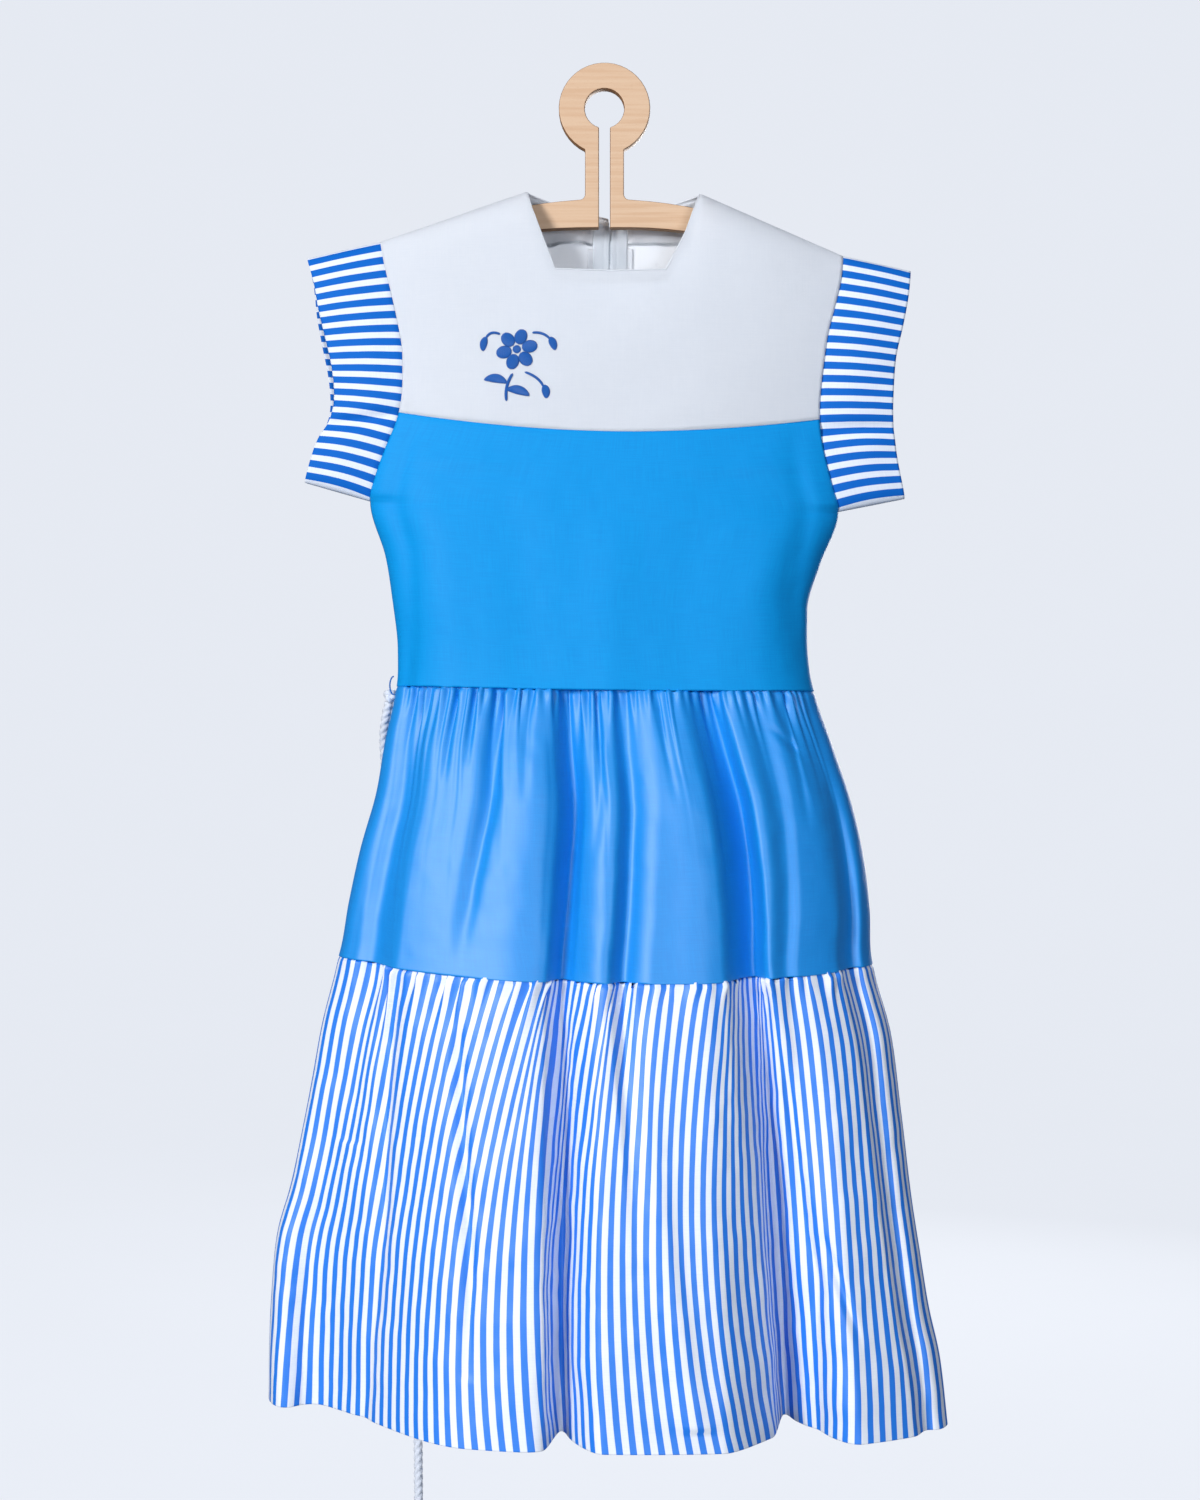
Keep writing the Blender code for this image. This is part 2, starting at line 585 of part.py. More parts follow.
def cloth_wall(name, grid, collection, material, cloth=CLOTH, closed=False):
    """A grid of threads made into a wall of cloth."""
    rows, columns = grid.shape[0] - 1, grid.shape[1] - 1
    shape = bmesh.new()
    bmesh.ops.create_grid(shape, x_segments=columns, y_segments=rows, size=0.5)
    for vertex in shape.verts:
        column = round((vertex.co.x + 0.5) * columns)
        row = round((vertex.co.y + 0.5) * rows)
        vertex.co = grid[row, column]
    if closed:
        bmesh.ops.remove_doubles(shape, verts=shape.verts, dist=WELD)
    mesh = bpy.data.meshes.new(name)
    shape.to_mesh(mesh)
    shape.free()
    mesh.shade_smooth()
    wall = add_object(name, mesh, collection, material)
    solidify = wall.modifiers.new("cloth", "SOLIDIFY")
    solidify.thickness = cloth
    solidify.offset = 0.0
    return wall


def flat_shape(name, outlines, thickness, collection, material):
    """A flat outline, with any holes, extruded to a thickness about its own plane."""
    curve = bpy.data.curves.new(name, "CURVE")
    curve.dimensions = "2D"
    curve.fill_mode = "BOTH"
    curve.extrude = thickness / 2
    for outline in outlines:
        spline = curve.splines.new("POLY")
        spline.points.add(len(outline) - 1)
        for point, (x, y) in zip(spline.points, outline):
            point.co = (x, y, 0.0, 1.0)
        spline.use_cyclic_u = True
    return add_object(name, curve, collection, material)


def round_cord(name, points, radius, collection, material, resolution=2):
    """A round cord or thread along the given points, with closed ends."""
    curve = bpy.data.curves.new(name, "CURVE")
    curve.dimensions = "3D"
    curve.bevel_depth = radius
    curve.bevel_resolution = resolution
    curve.use_fill_caps = True
    spline = curve.splines.new("POLY")
    spline.points.add(len(points) - 1)
    for point, place in zip(spline.points, points):
        point.co = (*place, 1.0)
    return add_object(name, curve, collection, material)


def arc(centre, radius, start, end, count):
    """Points along an arc, by angles in degrees."""
    angles = np.radians(np.linspace(start, end, count))
    return [(centre[0] + radius * math.cos(turn), centre[1] + radius * math.sin(turn)) for turn in angles]


def arm_top(arm, x):
    """Height of the top edge of a hanger arm at a distance from the middle."""
    out = max(x - ARM_START, 0.0)
    return ARM_TOP_Z - arm.slope * out - arm.bend * out**2


def arm_outline(arm, steps=10):
    """One arm and its half of the neck, from the slot's foot round to the ring."""
    full_height = ARM_TOP_Z - ARM_BOTTOM_Z
    places = np.linspace(ARM_START + ARM_FILLET, ARM_REACH, steps)
    heights = full_height - ARM_TAPER * (places - ARM_START)
    points = [(SLOT_HALF, ARM_BOTTOM_Z)]
    points += [(x, arm_top(arm, x) - height) for x, height in zip(places, heights)]
    tip_centre = (ARM_REACH, arm_top(arm, ARM_REACH) - heights[-1] / 2)
    points += arc(tip_centre, heights[-1] / 2, -75, 75, 6)
    points += [(x, arm_top(arm, x)) for x in places[::-1]]
    corner = (NECK_HALF + ARM_FILLET, arm_top(arm, ARM_START + ARM_FILLET) + ARM_FILLET)
    points += arc(corner, ARM_FILLET, 255, 180, 5)
    ring_meet = -HOLE_RADIUS - math.sqrt(RING_RADIUS**2 - NECK_HALF**2)
    points.append((NECK_HALF, ring_meet))
    return points


def hanger_outline():
    """The hanger's one closed outline: arms, neck, ring, hole and slot."""
    right = arm_outline(RIGHT_ARM)
    left = [(-x, y) for x, y in arm_outline(LEFT_ARM)]
    centre = (0.0, -HOLE_RADIUS)
    neck_angle = math.degrees(math.asin(NECK_HALF / RING_RADIUS))
    slot_angle = math.degrees(math.asin(SLOT_HALF / HOLE_RADIUS))
    ring = arc(centre, RING_RADIUS, -90 + neck_angle, 270 - neck_angle, 38)[1:-1]
    hole = arc(centre, HOLE_RADIUS, 270 - slot_angle, -90 + slot_angle, 26)
    return right + ring + left[::-1] + hole


def smooth_route(route, step):
    """Evenly spaced points on a smooth curve through a route's own points."""
    route = np.array(route)
    chord = np.concatenate([[0.0], np.cumsum(np.linalg.norm(np.diff(route, axis=0), axis=1))])
    count = round(chord[-1] / step)
    places = np.linspace(0, chord[-1], count + 1)
    return np.stack([smooth_track(chord, route[:, axis], places) for axis in range(3)], axis=1)


def round_knot(name, centre, collection, material):
    """A knot as one closed round solid."""
    shape = bmesh.new()
    bmesh.ops.create_uvsphere(shape, u_segments=12, v_segments=8, radius=KNOT_RADIUS)
    mesh = bpy.data.meshes.new(name)
    shape.to_mesh(mesh)
    shape.free()
    mesh.shade_smooth()
    knot = add_object(name, mesh, collection, material)
    knot.location = centre
    return knot


def build_hanger(collection, material):
    """The plywood hanger, standing in the plane of the shoulders."""
    hanger = flat_shape("hanger", [hanger_outline()], HANGER_THICK, collection, material)
    hanger.rotation_euler = (math.pi / 2, 0.0, 0.0)


def build_belt(collection, thread, rope):
    """The thread loop at the left of the waist and the rope belt that hangs from it."""
    wall = CLOTH / 2 + LOOP_WIRE + 3 * LAY_GAP
    side_x = float(read_table(SIDES, "left", WAIST)) - wall
    side_y = float(read_table(DEPTHS, "left", WAIST))
    middle_z = (LOOP_TOP_Z + LOOP_BOTTOM_Z) / 2
    half = (LOOP_TOP_Z - LOOP_BOTTOM_Z) / 2
    points = []
    for angle in np.radians(np.linspace(90, 270, 9)):
        points.append((side_x + LOOP_REACH * math.cos(angle), side_y, middle_z + half * math.sin(angle)))
    round_cord("belt_loop", points, LOOP_WIRE, collection, thread)
    route = smooth_route(ROPE_ROUTE, ROPE_STEP)
    round_cord("belt_rope", route, ROPE_RADIUS, collection, rope)
    ends = (("rope_knot_top", route[0], route[1]), ("rope_knot_end", route[-1], route[-2]))
    for name, end, inner in ends:
        away = (end - inner) / np.linalg.norm(end - inner)
        round_knot(name, end + away * (KNOT_RADIUS + LAY_GAP), collection, rope)


def bridge_shape(collection, metal):
    """The slider's bridge as one welded solid, seen from its side in its own plane."""
    corner_height = BRIDGE_HALF_HEIGHT - BRIDGE_CORNER
    outer = [(-BRIDGE_CORNER, -BRIDGE_HALF_HEIGHT), (BRIDGE_OUT, -corner_height)]
    outer += [(BRIDGE_OUT, corner_height), (-BRIDGE_CORNER, BRIDGE_HALF_HEIGHT)]
    inner_out = BRIDGE_OUT - BRIDGE_WALL
    inner_height = BRIDGE_HALF_HEIGHT - BRIDGE_WALL
    inner = [(BRIDGE_FOOT, -inner_height), (inner_out, -inner_height)]
    inner += [(inner_out, inner_height), (BRIDGE_FOOT, inner_height)]
    arch = flat_shape("bridge", [outer, inner], BRIDGE_WIDTH, collection, metal)
    bpy.context.view_layer.update()
    solid = bpy.data.meshes.new_from_object(arch.evaluated_get(bpy.context.evaluated_depsgraph_get()))
    bpy.data.objects.remove(arch)
    welded = bmesh.new()
    welded.from_mesh(solid)
    bmesh.ops.remove_doubles(welded, verts=welded.verts, dist=WELD)
    welded.to_mesh(solid)
    welded.free()
    return add_object("slider_bridge", solid, collection, metal)


def build_pull(hinge, collection, metal):
    """The pull tab, hanging from the hinge by the bar at its top."""
    half = TAB_WIDTH / 2
    top = TAB_BAR / 2
    foot = TAB_ROUND - TAB_LENGTH
    outline = [(-half, top), (half, top), (half, foot)]
    outline += arc((0.0, foot), half, -15, -165, 7)
    outline.append((-half, foot))
    hole = [(-TAB_HOLE_HALF, -top), (TAB_HOLE_HALF, -top)]
    hole += [(TAB_HOLE_HALF, -TAB_HOLE_END), (-TAB_HOLE_HALF, -TAB_HOLE_END)]
    tab = flat_shape("zip_pull", [outline, hole], TAB_BAR, collection, metal)
    tab.rotation_euler = (math.pi / 2, 0.0, 0.0)
    tab.parent = hinge


def build_zip(collection, metal):
    """The slider with its bridge, and the pull tab that turns on it."""
    x = centre_back_x(SHOULDER)
    middle_z = SLIDER_TOP_Z - SLIDER_HEIGHT / 2
    cloth_y = back_depth(x, SLIDER_TOP_Z - SLIDER_HEIGHT) + SEAM_GAP / 2 + CLOTH / 2
    face_y = cloth_y + LAY_GAP + SLIDER_THICK
    shape = bmesh.new()
    bmesh.ops.create_cube(shape, size=1.0)
    bmesh.ops.scale(shape, verts=shape.verts, vec=(SLIDER_WIDTH, SLIDER_THICK, SLIDER_HEIGHT))
    mesh = bpy.data.meshes.new("zip_slider")
    shape.to_mesh(mesh)
    shape.free()
    slider = add_object("zip_slider", mesh, collection, metal)
    slider.location = (x, face_y - SLIDER_THICK / 2, middle_z)
    joined = bpy.data.collections.new("joined pieces")
    bpy.context.scene.collection.children.link(joined)
    bridge = bridge_shape(joined, metal)
    bridge.location = (x, face_y, middle_z)
    bridge.rotation_euler = (math.pi / 2, 0.0, math.pi / 2)
    bridge.hide_render = True
    bridge.display_type = "WIRE"
    union = slider.modifiers.new("bridge", "BOOLEAN")
    union.operation = "UNION"
    union.object = bridge
    hinge = bpy.data.objects.new("pull_hinge", None)
    collection.objects.link(hinge)
    hinge.location = (x, face_y + (BRIDGE_OUT - BRIDGE_WALL) / 2, middle_z)
    build_pull(hinge, collection, metal)


def build_dress(collection, white, blue, striped, tape):
    """Every cloth panel of the dress."""
    shoulder = SEAM_HEIGHTS[0]
    front_stations = (
        ((SIDES[0].left, shoulder.left), 0.0, 0),
        (NECK_LEFT, NECK_LEFT_SHARE, SHOULDER_COLUMNS),
        (NECK_CORNER_LEFT, CORNER_LEFT_SHARE, 2),
        (NECK_CORNER_RIGHT, CORNER_RIGHT_SHARE, 4),
        (NECK_RIGHT, NECK_RIGHT_SHARE, 2),
        ((SIDES[0].right, shoulder.right), 1.0, SHOULDER_COLUMNS),
    )
    upper_front = gathered_grid("front", TIER_LEVELS, FRONT_TIER_GATHERS)
    lower_front = gathered_grid("front", FRONT_HEM_LEVELS, FRONT_HEM_GATHERS)
    lower_back = gathered_grid("back", BACK_HEM_LEVELS, BACK_HEM_GATHERS)
    cloth_wall("yoke_front", yoke_grid(True, front_stations), collection, white)
    cloth_wall("bodice_front", panel_grid("front", BODICE_LEVELS, BODICE_COLUMNS), collection, blue)
    cloth_wall("upper_tier_front", upper_front, collection, blue)
    cloth_wall("lower_tier_front", lower_front, collection, striped)
    cloth_wall("lower_tier_back", lower_back, collection, striped)
    for side, sign in (("left", -1), ("right", 1)):
        half = "back_" + side
        bodice = panel_grid(half, BODICE_LEVELS, BODICE_COLUMNS // 2)
        upper_back = gathered_grid(half, TIER_LEVELS, BACK_TIER_GATHERS)
        cloth_wall("yoke_" + half, yoke_grid(False, back_yoke_stations(side)), collection, white)
        cloth_wall("neck_facing_" + side, facing_grid(side), collection, white, THIN_CLOTH)
        cloth_wall("bodice_" + half, bodice, collection, blue)
        cloth_wall("upper_tier_" + half, upper_back, collection, blue)
        cloth_wall("zip_tape_" + side, tape_grid(sign), collection, tape, THIN_CLOTH)
    for sleeve in SLEEVES:
        cloth_wall(sleeve.name, sleeve_grid(sleeve), collection, striped, closed=True)


def main():
    """Clear the scene and build the dress, its belt and its hanger."""
    for thing in list(bpy.data.objects):
        bpy.data.objects.remove(thing)
    collection = bpy.data.collections.new("dress on a hanger")
    bpy.context.scene.collection.children.link(collection)
    white = make_material("white cotton", (0.80, 0.83, 0.88), 0.85)
    blue = make_material("azure cotton", (0.02, 0.28, 0.75), 0.75)
    striped = make_material("striped cotton", (0.35, 0.52, 0.85), 0.80)
    tape = make_material("zip tape", (0.74, 0.78, 0.82), 0.85)
    rope = make_material("cotton rope", (0.84, 0.86, 0.90), 0.90)
    metal = make_material("white enamelled metal", (0.80, 0.82, 0.84), 0.40, 0.0)
    wood = make_material("beech plywood", (0.72, 0.50, 0.33), 0.60)
    build_dress(collection, white, blue, striped, tape)
    build_hanger(collection, wood)
    build_belt(collection, blue, rope)
    build_zip(collection, metal)


main()
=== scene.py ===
"""Looks of a tiered cotton dress on its flat plywood hanger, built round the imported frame.

Metres, +Z up. The front faces -Y and +X is on the right of someone looking at it.

The cloth is worked out in levels that run down the dress: 0 at the shoulder ends,
1 at the underarms, 2 at the waist seam, 3 at the seam between the tiers and 4 at
the hem. Each panel is a fine grid of threads on that form. The solids of the frame
have the same form with fewer threads.
"""

import logging
import math
from dataclasses import dataclass
from enum import Enum
from functools import partial
from typing import NamedTuple, Sequence

import bmesh
import bpy
import numpy as np
from bpy.types import Material, Mesh, NodeSocket, NodeTree, Object
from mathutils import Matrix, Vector
from mathutils.bvhtree import BVHTree

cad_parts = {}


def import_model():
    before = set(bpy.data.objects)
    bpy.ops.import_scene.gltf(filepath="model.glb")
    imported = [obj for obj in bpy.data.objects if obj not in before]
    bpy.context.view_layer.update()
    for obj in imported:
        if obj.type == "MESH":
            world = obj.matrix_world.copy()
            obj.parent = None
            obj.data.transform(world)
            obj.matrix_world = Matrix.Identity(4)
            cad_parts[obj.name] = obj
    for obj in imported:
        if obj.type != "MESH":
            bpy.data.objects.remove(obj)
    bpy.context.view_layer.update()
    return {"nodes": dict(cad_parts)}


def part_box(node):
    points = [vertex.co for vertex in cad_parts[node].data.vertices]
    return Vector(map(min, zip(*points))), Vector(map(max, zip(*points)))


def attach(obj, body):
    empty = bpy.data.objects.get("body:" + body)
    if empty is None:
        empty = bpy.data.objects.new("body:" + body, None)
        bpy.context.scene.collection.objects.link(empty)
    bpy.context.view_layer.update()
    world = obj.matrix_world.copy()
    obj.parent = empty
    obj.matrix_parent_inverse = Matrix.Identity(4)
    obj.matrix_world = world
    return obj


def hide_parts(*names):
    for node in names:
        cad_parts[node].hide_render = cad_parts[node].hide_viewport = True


LOG = logging.getLogger("dress")
BODY = "dress_and_hanger"
PULL_BODY = "pull_tab"
SHOULDER, YOKE, UNDERARM, WAIST, TIER, HEM = 0.0, 0.66, 1.0, 2.0, 3.0, 4.0
WELD = 0.000001
# Settings of a mix of colours and of a smooth step, and how light goes through thin cloth.
MIXED = {"data_type": "RGBA", "out": 2}
SMOOTH = {"interpolation_type": "SMOOTHSTEP"}
EVEN_GLOW = (1.0, 1.0, 1.0)
CLOTH_DEPTH = 0.002


def linear(colour: str) -> tuple[float, float, float, float]:
    """Turn an sRGB hex colour into a linear one.

    Args:
        colour: six hex digits after a hash sign.

    Returns:
        Linear red, green and blue, and an alpha of 1.
    """
    shares = [int(colour[place:place + 2], 16) / 255 for place in (1, 3, 5)]
    red, green, blue = (c / 12.92 if c <= 0.04045 else ((c + 0.055) / 1.055) ** 2.4 for c in shares)
    return (red, green, blue, 1.0)


def add_node(
    tree: NodeTree, kind: str, *values: object, links: dict | None = None, out: int | str = 0,
    **settings: object,
) -> NodeSocket:
    """Add one shader node with its settings and its links.

    Args:
        tree: the material's node tree.
        kind: the node's type, without its ShaderNode prefix.
        values: sockets or values for its first inputs, in order.
        links: sockets or values for other inputs, by name or number.
        out: which output is wanted.
        settings: the node's own settings.

    Returns:
        The output that is wanted.
    """
    node = tree.nodes.new("ShaderNode" + kind)
    for name, value in settings.items():
        setattr(node, name, value)
    for key, value in (dict(enumerate(values)) | (links or {})).items():
        if isinstance(value, NodeSocket):
            tree.links.new(value, node.inputs[key])
        else:
            node.inputs[key].default_value = value
    return node.outputs[out]


class Shading:
    """The node tree of one material, with its Principled shader."""

    def __init__(self, name: str, **settings: object) -> None:
        """Start a material.

        Args:
            name: what the real material is.
            settings: values of the shader's own sockets, with spaces as underscores.
        """
        self.material = bpy.data.materials.new(name)
        self.material.use_nodes = True
        self.tree = self.material.node_tree
        self.shader = self.tree.nodes["Principled BSDF"]
        for key, value in settings.items():
            self.shader.inputs[key.replace("_", " ")].default_value = value
        self.add = partial(add_node, self.tree)

    def grains(
        self, place: NodeSocket, size: Sequence[float], detail: float = 2.0
    ) -> NodeSocket:
        """Uneven pattern whose grains have a real size.

        Args:
            place: coordinates in metres.
            size: length of one grain along each axis, in metres.
            detail: how many finer layers lie over it.

        Returns:
            The pattern, from 0 to 1.
        """
        scale = tuple(1 / length for length in size)
        mapped = self.add("Mapping", links={"Vector": place, "Scale": scale})
        links = {"Vector": mapped, "Scale": 1.0, "Detail": detail, "Roughness": 0.55}
        return self.add("TexNoise", links=links)

    def ripple(self, along: NodeSocket, pitch: float) -> NodeSocket:
        """Ripples from -1 to 1, one to each pitch in metres."""
        turns = self.add("Math", along, 2 * math.pi / pitch, operation="MULTIPLY")
        return self.add("Math", turns, operation="SINE")

    def finish(self, colour: object, normal: object, roughness: object = None) -> Material:
        """Plug the last sockets into the shader.

        Args:
            colour: socket of the base colour.
            normal: socket of the bent normal.
            roughness: socket of the roughness, where it varies.

        Returns:
            The finished material.
        """
        self.tree.links.new(colour, self.shader.inputs["Base Color"])
        self.tree.links.new(normal, self.shader.inputs["Normal"])
        if roughness is not None:
            self.tree.links.new(roughness, self.shader.inputs["Roughness"])
        return self.material


@dataclass(frozen=True)
class WovenCotton:
    """Plain-woven cotton, matt, with uneven threads and the soft crumple of washed cloth.

    Real threads are about 0.3 mm apart and are drawn 0.8 mm apart so that they show.
    A slub, where a thread swells, is about 25 mm long.
    """

    name: str
    colour: str
    shade: str
    stripe_colour: str | None = None
    stripe: float = 0.0104
    blue_share: float = 0.47
    stripe_edge: float = 0.035
    stripe_wobble: float = 0.0006
    thread: float = 0.0008
    slub_length: float = 0.025
    dent: tuple[float, float, float] = (0.0111, 0.0143, 1.0)
    roughness: float = 0.72
    sheen: float = 0.15
    gloss: float = 0.30
    weave: float = 0.35
    through: float = 0.0
    crumple: float = 0.22
    slub: float = 0.22

    def material(self) -> Material:
        """Make the material; U and V are metres on the flat cloth.

        Returns:
            The finished material.
        """
        look = Shading(
            self.name, Roughness=self.roughness, Sheen_Weight=self.sheen, Sheen_Roughness=0.5,
            Specular_IOR_Level=self.gloss, Subsurface_Weight=self.through, Subsurface_Radius=EVEN_GLOW,
            Subsurface_Scale=CLOTH_DEPTH,
        )
        uv = look.add("TexCoord", out="UV")
        across = look.add("SeparateXYZ", uv)
        down = look.add("SeparateXYZ", uv, out=1)
        warp, weft = look.ripple(across, 2 * self.thread), look.ripple(down, 2 * self.thread)
        slub_warp = look.grains(uv, (self.thread, self.slub_length, 1.0))
        slub_weft = look.grains(uv, (self.slub_length, self.thread, 1.0))
        slubs = look.add("Math", slub_warp, slub_weft, operation="ADD")
        crossings = look.add("Math", warp, weft, operation="MULTIPLY")
        threads = look.add("Math", crossings, 0.35, slubs, operation="MULTIPLY_ADD")
        colour: object = linear(self.colour)
        if self.stripe_colour:
            wobble = look.add("Math", slub_warp, self.stripe_wobble, across, operation="MULTIPLY_ADD")
            turns = look.add("Math", wobble, self.stripe, operation="DIVIDE")
            phase = look.add("Math", turns, operation="FRACT")
            centred = look.add("Math", phase, 2.0, -1.0, operation="MULTIPLY_ADD")
            away = look.add("Math", centred, operation="ABSOLUTE")
            start, end = self.blue_share - self.stripe_edge, self.blue_share + self.stripe_edge
            share = look.add("MapRange", away, start, end, **SMOOTH)
            colour = look.add("Mix", share, links={6: linear(self.stripe_colour), 7: colour}, **MIXED)
        thick = look.add("MapRange", slubs, 0.7, 1.3, 0.0, self.slub, **SMOOTH)
        shaded = {6: colour, 7: linear(self.shade)}
        colour = look.add("Mix", thick, links=shaded, blend_type="MULTIPLY", **MIXED)
        dents = look.grains(uv, self.dent, 3.0)
        soft = look.add("Bump", links={"Height": dents, "Distance": 0.0012, "Strength": self.crumple})
        woven = {"Height": threads, "Distance": 0.00025, "Strength": self.weave, "Normal": soft}
        return look.finish(colour, look.add("Bump", links=woven))


@dataclass(frozen=True)
class Plywood:
    """Beech plywood, sanded and varnished.

    Its faces show long pale grain about 4 mm wide with short fine pores, and its edges show
    dark and light plies.
    """

    name: str = "beech plywood"
    pale: str = "#e0be9c"
    grain: str = "#d6af8b"
    pore: str = "#cfa681"
    dark_ply: str = "#7d5232"
    pale_ply: str = "#c3935f"
    ply: float = 0.0015
    grain_size: tuple[float, float, float] = (0.1111, 0.1111, 0.003846)
    pore_size: tuple[float, float, float] = (0.003846, 0.025, 0.0003846)
    cloud_size: tuple[float, float, float] = (0.2, 0.2, 0.025)

    def material(self) -> Material:
        """Make the material; the grain runs along X and the plies lie across Y.

        Returns:
            The finished material.
        """
        look = Shading(self.name, Roughness=0.5, Specular_IOR_Level=0.25)
        place = look.add("TexCoord", out="Object")
        pale, dark = linear(self.pale), linear(self.grain)
        grain = look.grains(place, self.grain_size, 6.0)
        pores = look.grains(place, self.pore_size)
        clouds = look.grains(place, self.cloud_size)
        share = look.add("MapRange", grain, 0.38, 0.66, **SMOOTH)
        face = look.add("Mix", share, links={6: pale, 7: dark}, **MIXED)
        share = look.add("MapRange", pores, 0.62, 0.72, 0.0, 0.55, **SMOOTH)
        face = look.add("Mix", share, links={6: face, 7: linear(self.pore)}, **MIXED)
        share = look.add("MapRange", clouds, 0.3, 0.7, 0.0, 0.25, **SMOOTH)
        face = look.add("Mix", share, links={6: face, 7: dark}, **MIXED)
        deep = look.add("SeparateXYZ", place, out=1)
        share = look.add("MapRange", look.ripple(deep, 2 * self.ply), -0.25, 0.25, **SMOOTH)
        plies = look.add("Mix", share, links={6: linear(self.dark_ply), 7: linear(self.pale_ply)}, **MIXED)
        facing = look.add("SeparateXYZ", look.add("TexCoord", out="Normal"), out=1)
        facing = look.add("Math", facing, operation="ABSOLUTE")
        facing = look.add("MapRange", facing, 0.72, 0.92, **SMOOTH)
        colour = look.add("Mix", facing, links={6: plies, 7: face}, **MIXED)
        height = look.add("Math", pores, 0.6, grain, operation="MULTIPLY_ADD")
        normal = look.add("Bump", links={"Height": height, "Distance": 0.0002, "Strength": 0.35})
        return look.finish(colour, normal, look.add("MapRange", grain, 0.3, 0.7, 0.46, 0.58, **SMOOTH))


@dataclass(frozen=True)
class TwistedCotton:
    """Soft cotton rope: white yarns along the rope with painted shade between them, and a fuzz about 0.5 mm
    long.
    """

    name: str = "cotton rope"
    colour: str = "#f1f4f9"
    # Colour of the painted shade in the grooves between the yarns.
    shade: str = "#b9c3d2"
    yarns: float = 27.0
    wander_size: tuple[float, float, float] = (0.00625, 0.1667, 1.0)
    fuzz_size: float = 0.000455

    def material(self) -> Material:
        """Make the material; U is metres along the rope and V goes once round it.

        Returns:
            The finished material.
        """
        look = Shading(self.name, Roughness=0.85, Sheen_Weight=0.3, Sheen_Roughness=0.5)
        uv = look.add("TexCoord", out="UV")
        wander = look.grains(uv, self.wander_size)
        round_it = look.add("SeparateXYZ", uv, out=1)
        turn = look.add("Math", wander, 0.06, round_it, operation="MULTIPLY_ADD")
        yarn = look.ripple(turn, 1 / self.yarns)
        fuzz = look.grains(look.add("TexCoord", out="Object"), (self.fuzz_size,) * 3, 3.0)
        height = look.add("Math", yarn, 0.4, fuzz, operation="MULTIPLY_ADD")
        # Painted shade: darker towards the shade colour in the grooves between the yarns.
        share = look.add("MapRange", yarn, -1.0, 0.2, 0.45, 0.0, **SMOOTH)
        colour = look.add("Mix", share, links={6: linear(self.colour), 7: linear(self.shade)}, **MIXED)
        normal = look.add("Bump", links={"Height": height, "Distance": 0.0004, "Strength": 0.55})
        return look.finish(colour, normal)


@dataclass(frozen=True)
class SatinThread:
    """Glossy mercerised embroidery thread laid side by side, each run across its shape, with painted shade
    between the threads.

    The threads wander a little over every 3 mm, as hand-guided stitches do.
    """

    name: str
    colour: str
    # Colour of the painted shade between the threads.
    shade: str
    thread: float = 0.0007
    slant: float = 0.35
    roughness: float = 0.38
    wander: float = 0.0004
    wander_size: float = 0.00333

    def material(self) -> Material:
        """Make the material; U runs along the shape and V across it, in metres.

        Returns:
            The finished material.
        """
        look = Shading(self.name, Roughness=self.roughness, Sheen_Weight=0.2, Anisotropic=0.5)
        uv = look.add("TexCoord", out="UV")
        along, across = look.add("SeparateXYZ", uv), look.add("SeparateXYZ", uv, out=1)
        along = look.add("Math", across, self.slant, along, operation="MULTIPLY_ADD")
        uneven_place = look.grains(uv, (self.wander_size, self.wander_size, 1.0))
        along = look.add("Math", uneven_place, self.wander, along, operation="MULTIPLY_ADD")
        wave = look.ripple(along, self.thread)
        # Painted shade: darker towards the shade colour in the troughs between the threads.
        share = look.add("MapRange", wave, -1.0, 0.3, 0.6, 0.0, **SMOOTH)
        colour = look.add("Mix", share, links={6: linear(self.colour), 7: linear(self.shade)}, **MIXED)
        normal = look.add("Bump", links={"Height": wave, "Distance": 0.0002, "Strength": 0.6})
        return look.finish(colour, normal)


@dataclass(frozen=True)
class Enamel:
    """White baked enamel on die-cast zinc: smooth, thin at the corners, with a few chips of about 1 mm."""

    name: str = "white enamelled metal"
    colour: str = "#eceff2"
    bare: str = "#8f9296"
    chip_size: float = 0.00111
    grime_size: float = 0.004

    def material(self) -> Material:
        """Make the material.

        Returns:
            The finished material.
        """
        look = Shading(self.name, Roughness=0.3, Coat_Weight=0.3, Coat_Roughness=0.15)
        place = look.add("TexCoord", out="Object")
        chips = look.grains(place, (self.chip_size,) * 3, 3.0)
        grime = look.grains(place, (self.grime_size,) * 3)
        share = look.add("MapRange", chips, 0.70, 0.73, 0.0, 0.8, **SMOOTH)
        colour = look.add("Mix", share, links={6: linear(self.colour), 7: linear(self.bare)}, **MIXED)
        normal = look.add("Bump", links={"Height": chips, "Distance": 0.0001, "Strength": 0.2})
        return look.finish(colour, normal, look.add("MapRange", grime, 0.3, 0.7, 0.25, 0.4, **SMOOTH))


